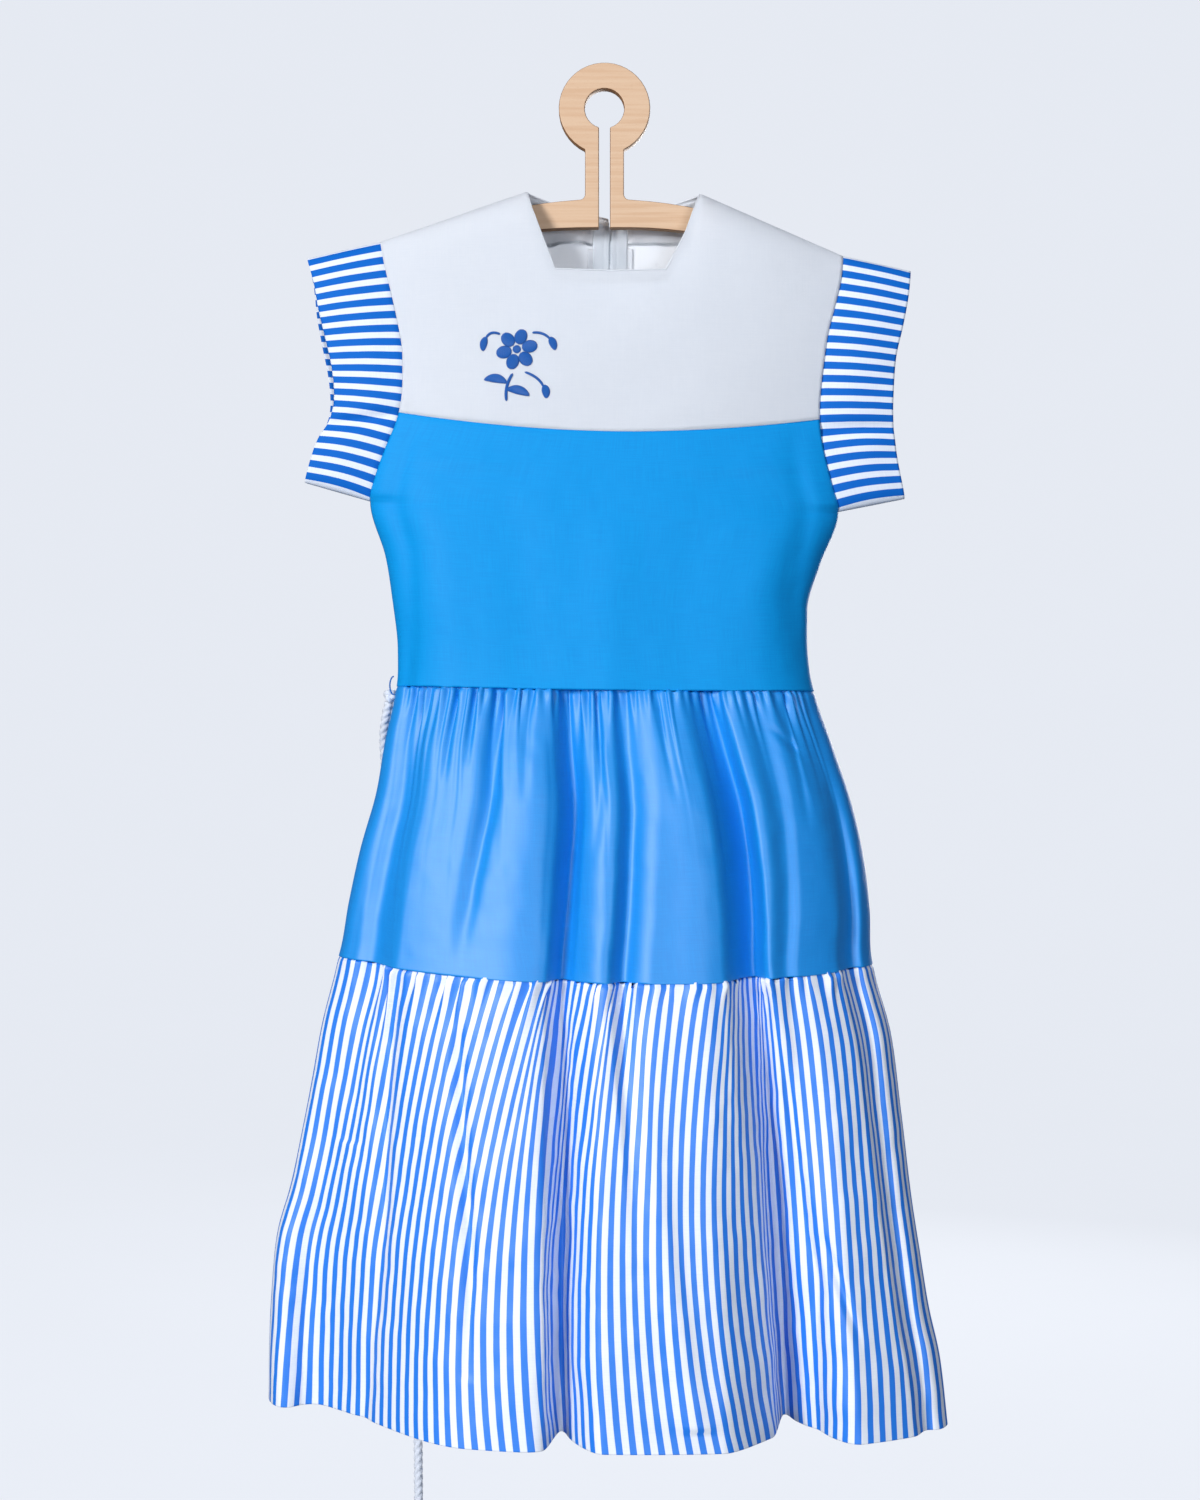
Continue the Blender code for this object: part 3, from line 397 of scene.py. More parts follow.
@dataclass(frozen=True)
class TwillTape:
    """Woven polyester zip tape: close ribs that slant one way and then the other, every 2.2 mm, with painted
    shade between them.
    """

    name: str = "zip tape"
    colour: str = "#dfe6ec"
    # Colour of the painted shade between the ribs.
    shade: str = "#b4bec9"
    rib: float = 0.0012
    herringbone: float = 0.0022

    def material(self) -> Material:
        """Make the material; U is metres across the tape and V metres along it.

        Returns:
            The finished material.
        """
        look = Shading(
            self.name, Roughness=0.7, Sheen_Weight=0.1, Subsurface_Weight=0.6, Subsurface_Radius=EVEN_GLOW,
            Subsurface_Scale=CLOTH_DEPTH,
        )
        uv = look.add("TexCoord", out="UV")
        across, along = look.add("SeparateXYZ", uv), look.add("SeparateXYZ", uv, out=1)
        folded = look.add("Math", across, self.herringbone, operation="PINGPONG")
        slanted = look.add("Math", folded, along, operation="ADD")
        ribs = look.ripple(slanted, self.rib)
        # Painted shade: darker towards the shade colour in the troughs between the ribs.
        share = look.add("MapRange", ribs, -1.0, 0.5, 0.35, 0.0, **SMOOTH)
        colour = look.add("Mix", share, links={6: linear(self.colour), 7: linear(self.shade)}, **MIXED)
        normal = look.add("Bump", links={"Height": ribs, "Distance": 0.0002, "Strength": 0.4})
        return look.finish(colour, normal)


@dataclass(frozen=True)
class PalePaint:
    """Matt pale paint of the studio's floor, with a roller's faint mottle and an even glow of its own."""

    name: str = "pale studio paint"
    colour: str = "#54575b"
    shade: str = "#4c4f53"
    glow_colour: str = "#eef2fa"
    glow: float = 0.89
    mottle_size: float = 0.3333

    def material(self) -> Material:
        """Make the material.

        Returns:
            The finished material.
        """
        look = Shading(
            self.name, Roughness=0.9, Specular_IOR_Level=0.0, Emission_Color=linear(self.glow_colour),
            Emission_Strength=self.glow,
        )
        mottle = look.grains(look.add("TexCoord", out="Object"), (self.mottle_size,) * 3, 4.0)
        colour = look.add("Mix", mottle, links={6: linear(self.colour), 7: linear(self.shade)}, **MIXED)
        normal = look.add("Bump", links={"Height": mottle, "Distance": 0.001, "Strength": 0.05})
        return look.finish(colour, normal)


class Wardrobe:
    """Every finish of the dress, made once."""

    def __init__(self) -> None:
        """Make the materials."""
        self.white = WovenCotton(
            "white cotton", "#e8ecf1", "#d6dfe9", gloss=0.15, through=0.9, weave=0.10, slub=0.08
        ).material()
        self.azure = WovenCotton(
            "azure cotton", "#0092e2", "#0a80ca", roughness=0.50, sheen=0.0, gloss=0.75, weave=0.15,
            crumple=0.08, slub=0.15,
        ).material()
        self.bodice = WovenCotton(
            "azure bodice cotton", "#0098de", "#0a84cc", roughness=0.60, sheen=0.0, gloss=0.18, weave=0.15,
            crumple=0.10, slub=0.15,
        ).material()
        self.striped = WovenCotton(
            "striped cotton", "#fafcff", "#d8e2f0", stripe_colour="#0080ec", blue_share=0.49, roughness=0.50,
            sheen=0.0, gloss=1.0, crumple=0.12,
        ).material()
        self.sleeve = WovenCotton(
            "striped sleeve cotton", "#eef2f8", "#cfdaea", stripe_colour="#0068c6", blue_share=0.555,
            stripe=0.0107, sheen=0.0, gloss=0.2,
        ).material()
        self.tape = TwillTape().material()
        self.rope = TwistedCotton().material()
        self.enamel = Enamel().material()
        self.plywood = Plywood().material()
        # The second colour of each thread below is its painted shade between the threads.
        self.floss = SatinThread("blue embroidery thread", "#0a62b8", "#043a7c").material()
        self.sewing = SatinThread("white sewing thread", "#eef2f6", "#aab5c2", 0.0006, 0.5, 0.6).material()
        self.coil = SatinThread("nylon zip coil", "#dde4ea", "#b3bdc8", 0.0012, 0.0, 0.35).material()
        self.loop = SatinThread("azure sewing thread", "#0a7fd6", "#064f94", 0.0008, 0.5, 0.5).material()


class Part(Enum):
    """Which side of the dress, or which half of its back, a panel covers."""

    FRONT = "front"
    BACK = "back"
    BACK_LEFT = "back left"
    BACK_RIGHT = "back right"


class SeamHeight(NamedTuple):
    """Heights of one level at the left, in the middle and at the right."""

    level: float
    left: float
    middle: float
    right: float


class Side(NamedTuple):
    """Outline from the front at one level."""

    level: float
    left: float
    right: float


class Depth(NamedTuple):
    """Outline from the side at one level, with how flat it is and how round it turns."""

    level: float
    left: float
    right: float
    front: float
    back: float
    flat: float
    turn: float


class Fold(NamedTuple):
    """A large fold: where its trough starts and ends, its depths and its two flanks."""

    start: float
    end: float
    place_top: float
    place_end: float
    depth_top: float
    depth_end: float
    left: float
    right: float
    lip: float


class Crease(NamedTuple):
    """A small crease: level, place across and depth along its track, and its half width."""

    track: tuple[tuple[float, float, float], ...]
    width: float


class Gathers(NamedTuple):
    """Gathers at a panel's top seam: number, height and how far down they die out."""

    count: int
    height: float
    reach: float


class Station(NamedTuple):
    """A point on a yoke's top edge, its share of the chest seam, and the columns before it."""

    place: tuple[float, float]
    share: float
    columns: int


class Cuff(NamedTuple):
    """Outline of the cuffs, by the drop from top to bottom."""

    drop: float
    left: float
    right: float


FRONT_FOLDS = (
    Fold(2.00, 3.00, 0.040, 0.030, 0.002, 0.006, 0.012, 0.020, 0.000),
    Fold(2.00, 3.00, 0.070, 0.085, 0.003, 0.009, 0.022, 0.016, 0.000),
    Fold(2.00, 3.00, 0.254, 0.233, 0.004, 0.000, 0.012, 0.010, 0.000),
    Fold(2.00, 3.00, 0.406, 0.414, 0.010, 0.018, 0.012, 0.040, 0.001),
    Fold(2.00, 3.00, 0.533, 0.525, 0.005, 0.009, 0.010, 0.026, 0.000),
    Fold(2.00, 3.00, 0.738, 0.766, 0.010, 0.023, 0.026, 0.014, 0.000),
    Fold(2.00, 3.00, 0.850, 0.822, 0.003, 0.005, 0.018, 0.012, 0.000),
    Fold(2.00, 3.00, 0.975, 0.948, 0.002, 0.007, 0.012, 0.012, 0.000),
    Fold(3.00, 4.00, 0.030, 0.090, 0.006, 0.050, 0.050, 0.120, 0.000),
    Fold(3.00, 3.50, 0.085, 0.130, 0.009, 0.000, 0.022, 0.030, 0.000),
    Fold(3.00, 4.00, 0.414, 0.428, 0.018, 0.040, 0.012, 0.040, 0.003),
    Fold(3.00, 3.70, 0.525, 0.560, 0.009, 0.000, 0.010, 0.026, 0.000),
    Fold(3.00, 3.70, 0.766, 0.770, 0.023, 0.000, 0.026, 0.014, 0.000),
    Fold(3.00, 4.00, 0.766, 0.756, 0.000, 0.036, 0.050, 0.060, 0.000),
    Fold(3.00, 4.00, 0.770, 0.754, 0.000, 0.040, 0.012, 0.060, 0.003),
    Fold(3.00, 3.60, 0.822, 0.850, 0.005, 0.000, 0.018, 0.020, 0.000),
    Fold(3.00, 4.00, 0.948, 0.965, 0.007, 0.010, 0.012, 0.014, 0.000),
)
BACK_FOLDS = (
    Fold(2.10, 3.00, 0.160, 0.150, 0.000, 0.010, 0.020, 0.026, 0.000),
    Fold(2.10, 3.00, 0.330, 0.320, 0.000, 0.012, 0.024, 0.020, 0.000),
    Fold(2.10, 3.00, 0.640, 0.650, 0.000, 0.012, 0.020, 0.026, 0.000),
    Fold(2.10, 3.00, 0.830, 0.840, 0.000, 0.010, 0.024, 0.020, 0.000),
    Fold(3.00, 4.00, 0.150, 0.130, 0.010, 0.032, 0.030, 0.036, 0.000),
    Fold(3.00, 4.00, 0.320, 0.315, 0.012, 0.034, 0.034, 0.028, 0.000),
    Fold(3.00, 4.00, 0.480, 0.490, 0.000, 0.030, 0.028, 0.034, 0.000),
    Fold(3.00, 4.00, 0.650, 0.670, 0.012, 0.034, 0.028, 0.036, 0.000),
    Fold(3.00, 4.00, 0.840, 0.860, 0.010, 0.030, 0.036, 0.028, 0.000),
)
FRONT_CREASES = (
    Crease(((0.66, 0.030, 0.0005), (0.8, 0.045, 0.0012), (1.2, 0.062, 0.0025), (1.6, 0.045, 0.0025),
            (1.9, 0.024, 0.0040), (2.0, 0.022, 0.003)), 0.009),
    Crease(((0.66, 0.955, 0.0005), (0.75, 0.936, 0.0012), (0.97, 0.925, 0.0025), (1.5, 0.960, 0.0025),
            (2.0, 0.985, 0.001)), 0.009),
    Crease(((0.7, 0.11, 0.0), (1.2, 0.13, -0.0025), (2.0, 0.12, -0.002)), 0.020),
    Crease(((0.7, 0.30, 0.0), (1.1, 0.30, 0.0015), (1.8, 0.32, 0.002), (2.0, 0.32, 0.001)), 0.022),
    Crease(((0.9, 0.52, 0.0), (1.4, 0.515, -0.0022), (2.0, 0.51, -0.002)), 0.018),
    Crease(((0.7, 0.72, 0.0), (1.2, 0.70, 0.0015), (2.0, 0.68, 0.002)), 0.024),
    Crease(((1.0, 0.86, 0.0), (1.4, 0.87, -0.002), (2.0, 0.88, -0.001)), 0.018),
    Crease(((2.0, 0.404, 0.004), (2.5, 0.410, 0.013), (3.0, 0.414, 0.007), (3.5, 0.424, 0.013),
            (4.0, 0.428, 0.013)), 0.011),
    Crease(((2.0, 0.740, 0.003), (2.5, 0.752, 0.012), (3.0, 0.766, 0.006), (3.4, 0.770, 0.012),
            (4.0, 0.754, 0.013)), 0.010),
    Crease(((2.0, 0.536, 0.003), (2.5, 0.532, 0.005), (3.0, 0.527, 0.005), (3.4, 0.548, 0.0)), 0.008),
    Crease(((2.0, 0.063, 0.004), (2.5, 0.064, 0.006), (3.0, 0.066, 0.006), (3.4, 0.080, 0.002)), 0.009),
    Crease(((2.0, 0.254, 0.004), (2.3, 0.248, 0.006), (2.7, 0.238, 0.003), (2.95, 0.235, 0.0)), 0.008),
    Crease(((2.0, 0.925, 0.003), (2.3, 0.940, 0.006), (3.0, 0.955, 0.005), (3.3, 0.960, 0.0)), 0.008),
    Crease(((2.0, 0.640, 0.0), (2.4, 0.655, -0.004), (3.0, 0.670, -0.004), (3.5, 0.680, 0.0)), 0.018),
    Crease(((2.0, 0.450, 0.0), (2.5, 0.460, -0.004), (3.0, 0.468, -0.003), (3.5, 0.475, 0.0)), 0.014),
    Crease(((2.0, 0.790, 0.0), (2.4, 0.800, -0.003), (3.0, 0.800, -0.003), (3.4, 0.800, 0.0)), 0.012),
    Crease(((2.0, 0.330, 0.0), (2.4, 0.320, -0.004), (3.0, 0.325, -0.003), (3.5, 0.330, 0.0)), 0.024),
    Crease(((2.0, 0.100, 0.004), (2.08, 0.100, 0.003), (2.2, 0.100, 0.0)), 0.003),
    Crease(((2.0, 0.155, 0.004), (2.15, 0.151, 0.003), (2.35, 0.146, 0.0)), 0.0035),
    Crease(((2.0, 0.196, 0.004), (2.12, 0.196, 0.003), (2.28, 0.196, 0.0)), 0.003),
    Crease(((2.0, 0.320, 0.003), (2.2, 0.318, 0.002), (2.4, 0.315, 0.0)), 0.0035),
    Crease(((2.0, 0.488, 0.004), (2.3, 0.475, 0.003), (2.62, 0.459, 0.0)), 0.004),
    Crease(((2.0, 0.620, 0.004), (2.2, 0.622, 0.002), (2.4, 0.625, 0.0)), 0.003),
    Crease(((2.0, 0.905, 0.004), (2.2, 0.900, 0.003), (2.5, 0.890, 0.0)), 0.0035),
    Crease(((2.12, 0.865, 0.0), (2.18, 0.890, 0.003), (2.24, 0.915, 0.0)), 0.004),
    Crease(((3.0, 0.133, 0.003), (3.17, 0.125, 0.007), (3.46, 0.142, 0.007), (3.66, 0.154, 0.005),
            (4.0, 0.152, 0.003)), 0.006),
    Crease(((3.05, 0.236, 0.0), (3.26, 0.258, 0.006), (3.66, 0.296, 0.005), (3.85, 0.302, 0.001)), 0.005),
    Crease(((3.05, 0.530, 0.0), (3.33, 0.560, -0.004), (3.62, 0.592, -0.004), (3.95, 0.630, -0.003)), 0.012),
    Crease(((3.03, 0.785, 0.002), (3.27, 0.807, 0.005), (3.55, 0.817, 0.005), (3.66, 0.824, 0.007),
            (3.75, 0.819, 0.004), (4.0, 0.807, 0.003)), 0.005),
    Crease(((3.55, 0.838, 0.0), (3.62, 0.851, 0.004), (3.68, 0.860, 0.005), (3.80, 0.880, 0.0)), 0.004),
)
BACK_CREASES = (
    Crease(((0.66, 0.05, 0.0), (1.0, 0.07, 0.004), (1.6, 0.05, 0.003), (2.0, 0.03, 0.002)), 0.007),
    Crease(((0.66, 0.95, 0.0), (1.0, 0.93, 0.004), (1.6, 0.95, 0.003), (2.0, 0.97, 0.002)), 0.007),
    Crease(((0.9, 0.25, 0.0), (1.4, 0.27, 0.003), (2.0, 0.26, 0.002)), 0.018),
    Crease(((0.9, 0.74, 0.0), (1.3, 0.72, 0.003), (2.0, 0.75, 0.002)), 0.016),
    Crease(((2.0, 0.12, 0.004), (2.2, 0.115, 0.003), (2.5, 0.11, 0.0)), 0.004),
    Crease(((2.0, 0.43, 0.003), (2.3, 0.42, 0.003), (2.7, 0.41, 0.0)), 0.005),
    Crease(((2.0, 0.58, 0.004), (2.25, 0.59, 0.003), (2.5, 0.60, 0.0)), 0.004),
    Crease(((2.0, 0.90, 0.004), (2.3, 0.91, 0.003), (2.6, 0.92, 0.0)), 0.005),
    Crease(((3.0, 0.23, 0.003), (3.3, 0.22, 0.005), (3.8, 0.22, 0.002)), 0.006),
    Crease(((3.0, 0.57, 0.003), (3.3, 0.58, 0.005), (3.7, 0.585, 0.0)), 0.006),
    Crease(((3.0, 0.76, 0.003), (3.4, 0.75, 0.004), (3.9, 0.76, 0.001)), 0.006),
)


def uneven(number: float) -> float:
    """A steady value from 0 to 1 that looks random from one whole number to the next."""
    return (math.sin(number * 12.9898) * 43758.5453) % 1.0


def smooth_track(xs: Sequence[float], ys: Sequence[float], at: object) -> np.ndarray:
    """Read a smooth curve with no overshoot.

    Args:
        xs: places of the points, rising.
        ys: their values.
        at: one place or several.

    Returns:
        The values there.
    """
    xs, ys = np.asarray(xs, float), np.asarray(ys, float)
    slopes = np.diff(ys) / np.diff(xs)
    tangents = np.concatenate([slopes[:1], (slopes[1:] + slopes[:-1]) / 2, slopes[-1:]])
    tangents[np.concatenate([[False], slopes[1:] * slopes[:-1] <= 0, [False]])] = 0.0
    at = np.clip(np.asarray(at, float), xs[0], xs[-1])
    span = np.clip(np.searchsorted(xs, at) - 1, 0, len(xs) - 2)
    width = xs[span + 1] - xs[span]
    t = (at - xs[span]) / width
    return (
        ys[span] * (1 + 2 * t) * (1 - t) ** 2
        + ys[span + 1] * (3 - 2 * t) * t**2
        + width * (tangents[span] * t * (1 - t) ** 2 - tangents[span + 1] * (1 - t) * t**2)
    )


def read_table(table: Sequence[NamedTuple], column: str, at: object) -> np.ndarray:
    """Read one named column of a table smoothly, by its first column."""
    return smooth_track([row[0] for row in table], [getattr(row, column) for row in table], at)


def crumple(across: np.ndarray, down: np.ndarray, size: float, seed: int) -> np.ndarray:
    """Soft random height over a sheet of cloth.

    Args:
        across: metres across the flat cloth.
        down: metres down it.
        size: how wide one dent is.
        seed: which crumple.

    Returns:
        Heights from -1 to 1.
    """
    lattice = np.random.default_rng(seed).uniform(-1, 1, (64, 64))
    a, b = across / size, down / size
    i, j = np.floor(a).astype(int), np.floor(b).astype(int)
    s, t = a - i, b - j
    s, t = s * s * (3 - 2 * s), t * t * (3 - 2 * t)
    i, j, right, below = i % 64, j % 64, (i + 1) % 64, (j + 1) % 64
    top = lattice[i, j] * (1 - s) + lattice[right, j] * s
    return top * (1 - t) + (lattice[i, below] * (1 - s) + lattice[right, below] * s) * t


def thread_normals(grid: np.ndarray) -> np.ndarray:
    """Unit normals of a grid of points."""
    normals = np.cross(np.gradient(grid, axis=1), np.gradient(grid, axis=0))
    return normals / np.maximum(np.linalg.norm(normals, axis=2, keepdims=True), 1e-12)


def outward_normals(grid: np.ndarray) -> np.ndarray:
    """Unit normals of a front or back panel, away from the inside of the dress.

    Args:
        grid: rows by columns of points.

    Returns:
        One unit vector for each point.
    """
    normals = thread_normals(grid)
    same = (normals[:, :, 1].mean() > 0) == (grid[:, :, 1].mean() > 0)
    return normals if same else -normals


def lengths_down(grid: np.ndarray) -> np.ndarray:
    """Length along each thread from the first row."""
    steps = np.linalg.norm(np.diff(grid, axis=0), axis=2)
    return np.concatenate([np.zeros((1, grid.shape[1])), np.cumsum(steps, axis=0)])


def lengths_along(path: np.ndarray) -> np.ndarray:
    """Length along a path from its first point."""
    return lengths_down(path[:, None])[:, 0]


def finish_mesh(shape: bmesh.types.BMesh, name: str) -> Mesh:
    """Turn a bmesh into a mesh and free it.

    Args:
        shape: the bmesh.
        name: the mesh's name.

    Returns:
        The new mesh.
    """
    mesh = bpy.data.meshes.new(name)
    shape.to_mesh(mesh)
    shape.free()
    return mesh


def grid_mesh(name: str, points: np.ndarray, uv: np.ndarray, weld: bool = False) -> Mesh:
    """Make a mesh of a grid of points.

    Args:
        name: the mesh's name.
        points: rows by columns by three coordinates.
        uv: rows by columns by two coordinates on the flat cloth, in metres.
        weld: True where the grid's sides or ends meet.

    Returns:
        The mesh, smooth, with its UV map.
    """
    rows, columns = points.shape[0] - 1, points.shape[1] - 1
    shape = bmesh.new()
    bmesh.ops.create_grid(shape, x_segments=columns, y_segments=rows, size=0.5)
    mesh = finish_mesh(shape, name)
    places = np.empty(len(mesh.vertices) * 3)
    mesh.vertices.foreach_get("co", places)
    places = places.reshape(-1, 3) + 0.5
    column = np.rint(places[:, 0] * columns).astype(int)
    row = np.rint(places[:, 1] * rows).astype(int)
    mesh.vertices.foreach_set("co", points[row, column].ravel())
    corners = np.empty(len(mesh.loops), dtype=int)
    mesh.loops.foreach_get("vertex_index", corners)
    layer = mesh.uv_layers.new(name="cloth")
    layer.data.foreach_set("uv", uv[row[corners], column[corners]].ravel())
    if weld:
        shape = bmesh.new()
        shape.from_mesh(mesh)
        bmesh.ops.remove_doubles(shape, verts=shape.verts, dist=WELD)
        bmesh.ops.recalc_face_normals(shape, faces=shape.faces)
        shape.to_mesh(mesh)
        shape.free()
    mesh.shade_smooth()
    return mesh


def add_piece(
    mesh: Mesh, material: Material, slot: str, *nodes: str, body: str = BODY
) -> Object:
    """Add a finished mesh to the scene as a piece of the object.

    Args:
        mesh: its shape, in the frame's own place.
        material: its finish.
        slot: a material slot's name; not used.
        nodes: the frame's nodes that it stands for.
        body: the body that it moves with.

    Returns:
        The new object.
    """
    piece = bpy.data.objects.new(mesh.name, mesh)
    bpy.context.scene.collection.objects.link(piece)
    mesh.materials.clear()
    mesh.materials.append(material)
    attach(piece, body)
    if nodes:
        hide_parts(*nodes)
    LOG.info("piece %s: %d faces, in place of %s", piece.name, len(mesh.polygons), nodes or "none")
    return piece


def thicken(piece: Object, cloth: float = 0.0006) -> Object:
    """Give a sheet the thickness of its cloth.

    Args:
        piece: the sheet.
        cloth: its thickness.

    Returns:
        The same piece.
    """
    solidify = piece.modifiers.new("cloth", "SOLIDIFY")
    solidify.thickness = cloth
    solidify.offset = 0.0
    return piece


def tube_grid(path: np.ndarray, radius: object, sides: int) -> tuple[np.ndarray, np.ndarray]:
    """Grid of a closed tube along a path.

    Args:
        path: points of its middle line.
        radius: one radius, or one for each point and each of the sides plus one.
        sides: how many faces go round.

    Returns:
        The points, with a pole at each end, and their UV coordinates.
    """
    ahead = np.gradient(path, axis=0)
    ahead /= np.linalg.norm(ahead, axis=1, keepdims=True)
    start = np.array([0.0, 1.0, 0.0]) if abs(ahead[0][1]) < 0.9 else np.array([1.0, 0.0, 0.0])
    across = np.empty_like(path)
    across[0] = start - ahead[0] * np.dot(start, ahead[0])
    for place in range(1, len(path)):
        turned = across[place - 1] - ahead[place] * np.dot(across[place - 1], ahead[place])
        across[place] = turned / np.linalg.norm(turned)
    across[0] /= np.linalg.norm(across[0])
    over = np.cross(ahead, across)
    angles = np.linspace(0, 2 * math.pi, sides + 1)
    reach = np.broadcast_to(radius, (len(path), sides + 1))[:, :, None]
    cosines, sines = np.cos(angles)[None, :, None], np.sin(angles)[None, :, None]
    ring = across[:, None, :] * cosines + over[:, None, :] * sines
    points = path[:, None, :] + ring * reach
    points[:, -1] = points[:, 0]
    ends = [np.repeat(path[end][None, None, :], sides + 1, axis=1) for end in (0, -1)]
    points = np.concatenate([ends[0], points, ends[1]])
    along = lengths_along(path)
    along = np.concatenate([along[:1], along, along[-1:]])
    uv = np.stack(np.meshgrid(along, angles / (2 * math.pi), indexing="ij"), axis=2)
    return points, uv


def tube_mesh(name: str, path: np.ndarray, radius: object, sides: int = 8) -> Mesh:
    """Mesh of a closed tube along a path."""
    points, uv = tube_grid(np.asarray(path, float), radius, sides)
    return grid_mesh(name, points, uv, weld=True)


def join_meshes(name: str, meshes: Sequence[Mesh]) -> Mesh:
    """Put several meshes into one.

    Args:
        name: the new mesh's name.
        meshes: the meshes, which are used up.

    Returns:
        The joined mesh.
    """
    shape = bmesh.new()
    for mesh in meshes:
        shape.from_mesh(mesh)
        bpy.data.meshes.remove(mesh)
    return finish_mesh(shape, name)


def bevelled_copy(node: Object, name: str, width: float, segments: int = 2) -> Mesh:
    """Copy a node's solid with its edges rounded over.

    Args:
        node: the frame's node.
        name: the new mesh's name.
        width: how far each edge is rounded.
        segments: how many faces round an edge.

    Returns:
        The new mesh.
    """
    shape = bmesh.new()
    shape.from_mesh(node.data)
    bmesh.ops.remove_doubles(shape, verts=shape.verts, dist=WELD * 5)
    bmesh.ops.dissolve_limit(shape, angle_limit=0.02, verts=shape.verts, edges=shape.edges)
    sharp = [edge for edge in shape.edges if len(edge.link_faces) == 2 and edge.calc_face_angle() > 0.6]
    bmesh.ops.bevel(
        shape, geom=sharp, offset=width, offset_type="OFFSET", affect="EDGES", segments=segments,
        profile=0.5, material=-1, clamp_overlap=True,
    )
    for face in shape.faces:
        face.smooth = len(face.verts) <= 4
    return finish_mesh(shape, name)


@dataclass(frozen=True)
class DressForm:
    """The dress's own form: where its seams, sides, front and back lie, and how its neck is cut."""

    seams: tuple[SeamHeight, ...] = (
        SeamHeight(SHOULDER, -0.1224, -0.0800, -0.1336),
        SeamHeight(YOKE, -0.2603, -0.2780, -0.2659),
        SeamHeight(UNDERARM, -0.3290, -0.3400, -0.3374),
        SeamHeight(WAIST, -0.4770, -0.4813, -0.4810),
        SeamHeight(TIER, -0.6930, -0.7066, -0.6990),
        SeamHeight(HEM, -1.0530, -1.0560, -1.0600),
    )
    sides: tuple[Side, ...] = (
        Side(0.00, -0.1790, 0.1905),
        Side(0.10, -0.1748, 0.1880),
        Side(0.20, -0.1696, 0.1835),
        Side(0.32, -0.1640, 0.1772),
        Side(0.42, -0.1605, 0.1742),
        Side(0.52, -0.1601, 0.1718),
        Side(0.62, -0.1614, 0.1704),
        Side(0.70, -0.1655, 0.1711),
        Side(0.80, -0.1740, 0.1750),
        Side(0.92, -0.1830, 0.1818),
        Side(1.00, -0.1872, 0.1868),
        Side(1.30, -0.1750, 0.1720),
        Side(1.55, -0.1693, 0.1622),
        Side(1.80, -0.1655, 0.1628),
        Side(2.00, -0.1665, 0.1678),
        Side(2.20, -0.1755, 0.1825),
        Side(2.40, -0.1832, 0.1972),
        Side(2.60, -0.1955, 0.2072),
        Side(2.80, -0.2050, 0.2125),
        Side(3.00, -0.2133, 0.2150),
        Side(3.15, -0.2268, 0.2290),
        Side(3.32, -0.2384, 0.2366),
        Side(3.52, -0.2537, 0.2447),
        Side(3.62, -0.2640, 0.2500),
        Side(3.75, -0.2692, 0.2572),
        Side(3.85, -0.2713, 0.2650),
        Side(4.00, -0.2725, 0.2709),
    )
    depths: tuple[Depth, ...] = (
        Depth(0.66, 0.000, 0.000, -0.034, 0.026, 2.6, 1.00),
        Depth(0.80, 0.000, 0.000, -0.036, 0.027, 2.8, 0.88),
        Depth(1.00, 0.000, 0.000, -0.039, 0.028, 3.1, 0.68),
        Depth(1.25, 0.0015, 0.0015, -0.041, 0.0295, 3.3, 0.56),
        Depth(1.50, 0.003, 0.003, -0.043, 0.031, 3.4, 0.50),
        Depth(2.00, 0.005, 0.005, -0.047, 0.034, 3.0, 0.50),
        Depth(2.40, 0.006, 0.006, -0.064, 0.038, 2.6, 0.55),
        Depth(3.00, 0.009, 0.006, -0.081, 0.044, 2.4, 0.58),
        Depth(3.50, 0.018, -0.006, -0.097, 0.049, 2.2, 0.60),
        Depth(4.00, 0.028, -0.020, -0.108, 0.053, 2.2, 0.60),
    )
    neck_left: tuple[float, float] = (-0.0620, -0.0824)
    neck_right: tuple[float, float] = (0.0764, -0.0840)
    back_neck_z: float = -0.0990
    back_neck_power: float = 1.1
    front_depth: float = 0.024
    back_depth: float = 0.021
    shoulder_round: float = 0.030
    armhole: float = 0.016
    armhole_power: float = 0.7
    zip_half_gap: float = 0.0020
    zip_end: float = 2.38
    zip_closes: float = 0.08
    left_share: float = 0.33
    right_share: float = 0.70
    samples: int = 801
    hollow_levels: tuple[float, float, float] = (YOKE, 0.85, UNDERARM)
    hollow_widths: tuple[float, float, float] = (9.0, 0.09, 0.03)
    side_calm: float = 2.5
    side_reach: float = 0.055
    drag: float = 0.35

    def seam_height(self, level: object, across: object) -> np.ndarray:
        """Height of the line at a level, from 0 at the left to 1 at the right.

        Args:
            level: one level or several.
            across: one share across or several.

        Returns:
            The heights there.
        """
        levels = [row.level for row in self.seams]
        left, middle, right = (
            np.interp(level, levels, [getattr(row, name) for row in self.seams])
            for name in ("left", "middle", "right")
        )
        return (
            left * (1 - across) * (1 - 2 * across)
            + middle * 4 * across * (1 - across)
            + right * across * (2 * across - 1)
        )

    def armhole_depth(self, level: object) -> np.ndarray:
        """How far the armhole seam lies in front of, or behind, the shoulder line."""
        inside = np.clip(level, 0.0, 1.0)
        return self.armhole * (2 * np.sqrt(inside * (1 - inside))) ** self.armhole_power

    def centre_back_x(self, level: float) -> float:
        """Where the centre back line lies across the dress."""
        return float(np.interp(level, (SHOULDER, YOKE, WAIST, HEM), (0.0047, 0.0040, 0.0, 0.0)))

    def half_gap(self, level: float) -> float:
        """Half the space between the two backs: the zip's above its end, none below it."""
        ends = (self.zip_end, self.zip_end + self.zip_closes)
        return float(np.interp(level, ends, (self.zip_half_gap, 0.0)))

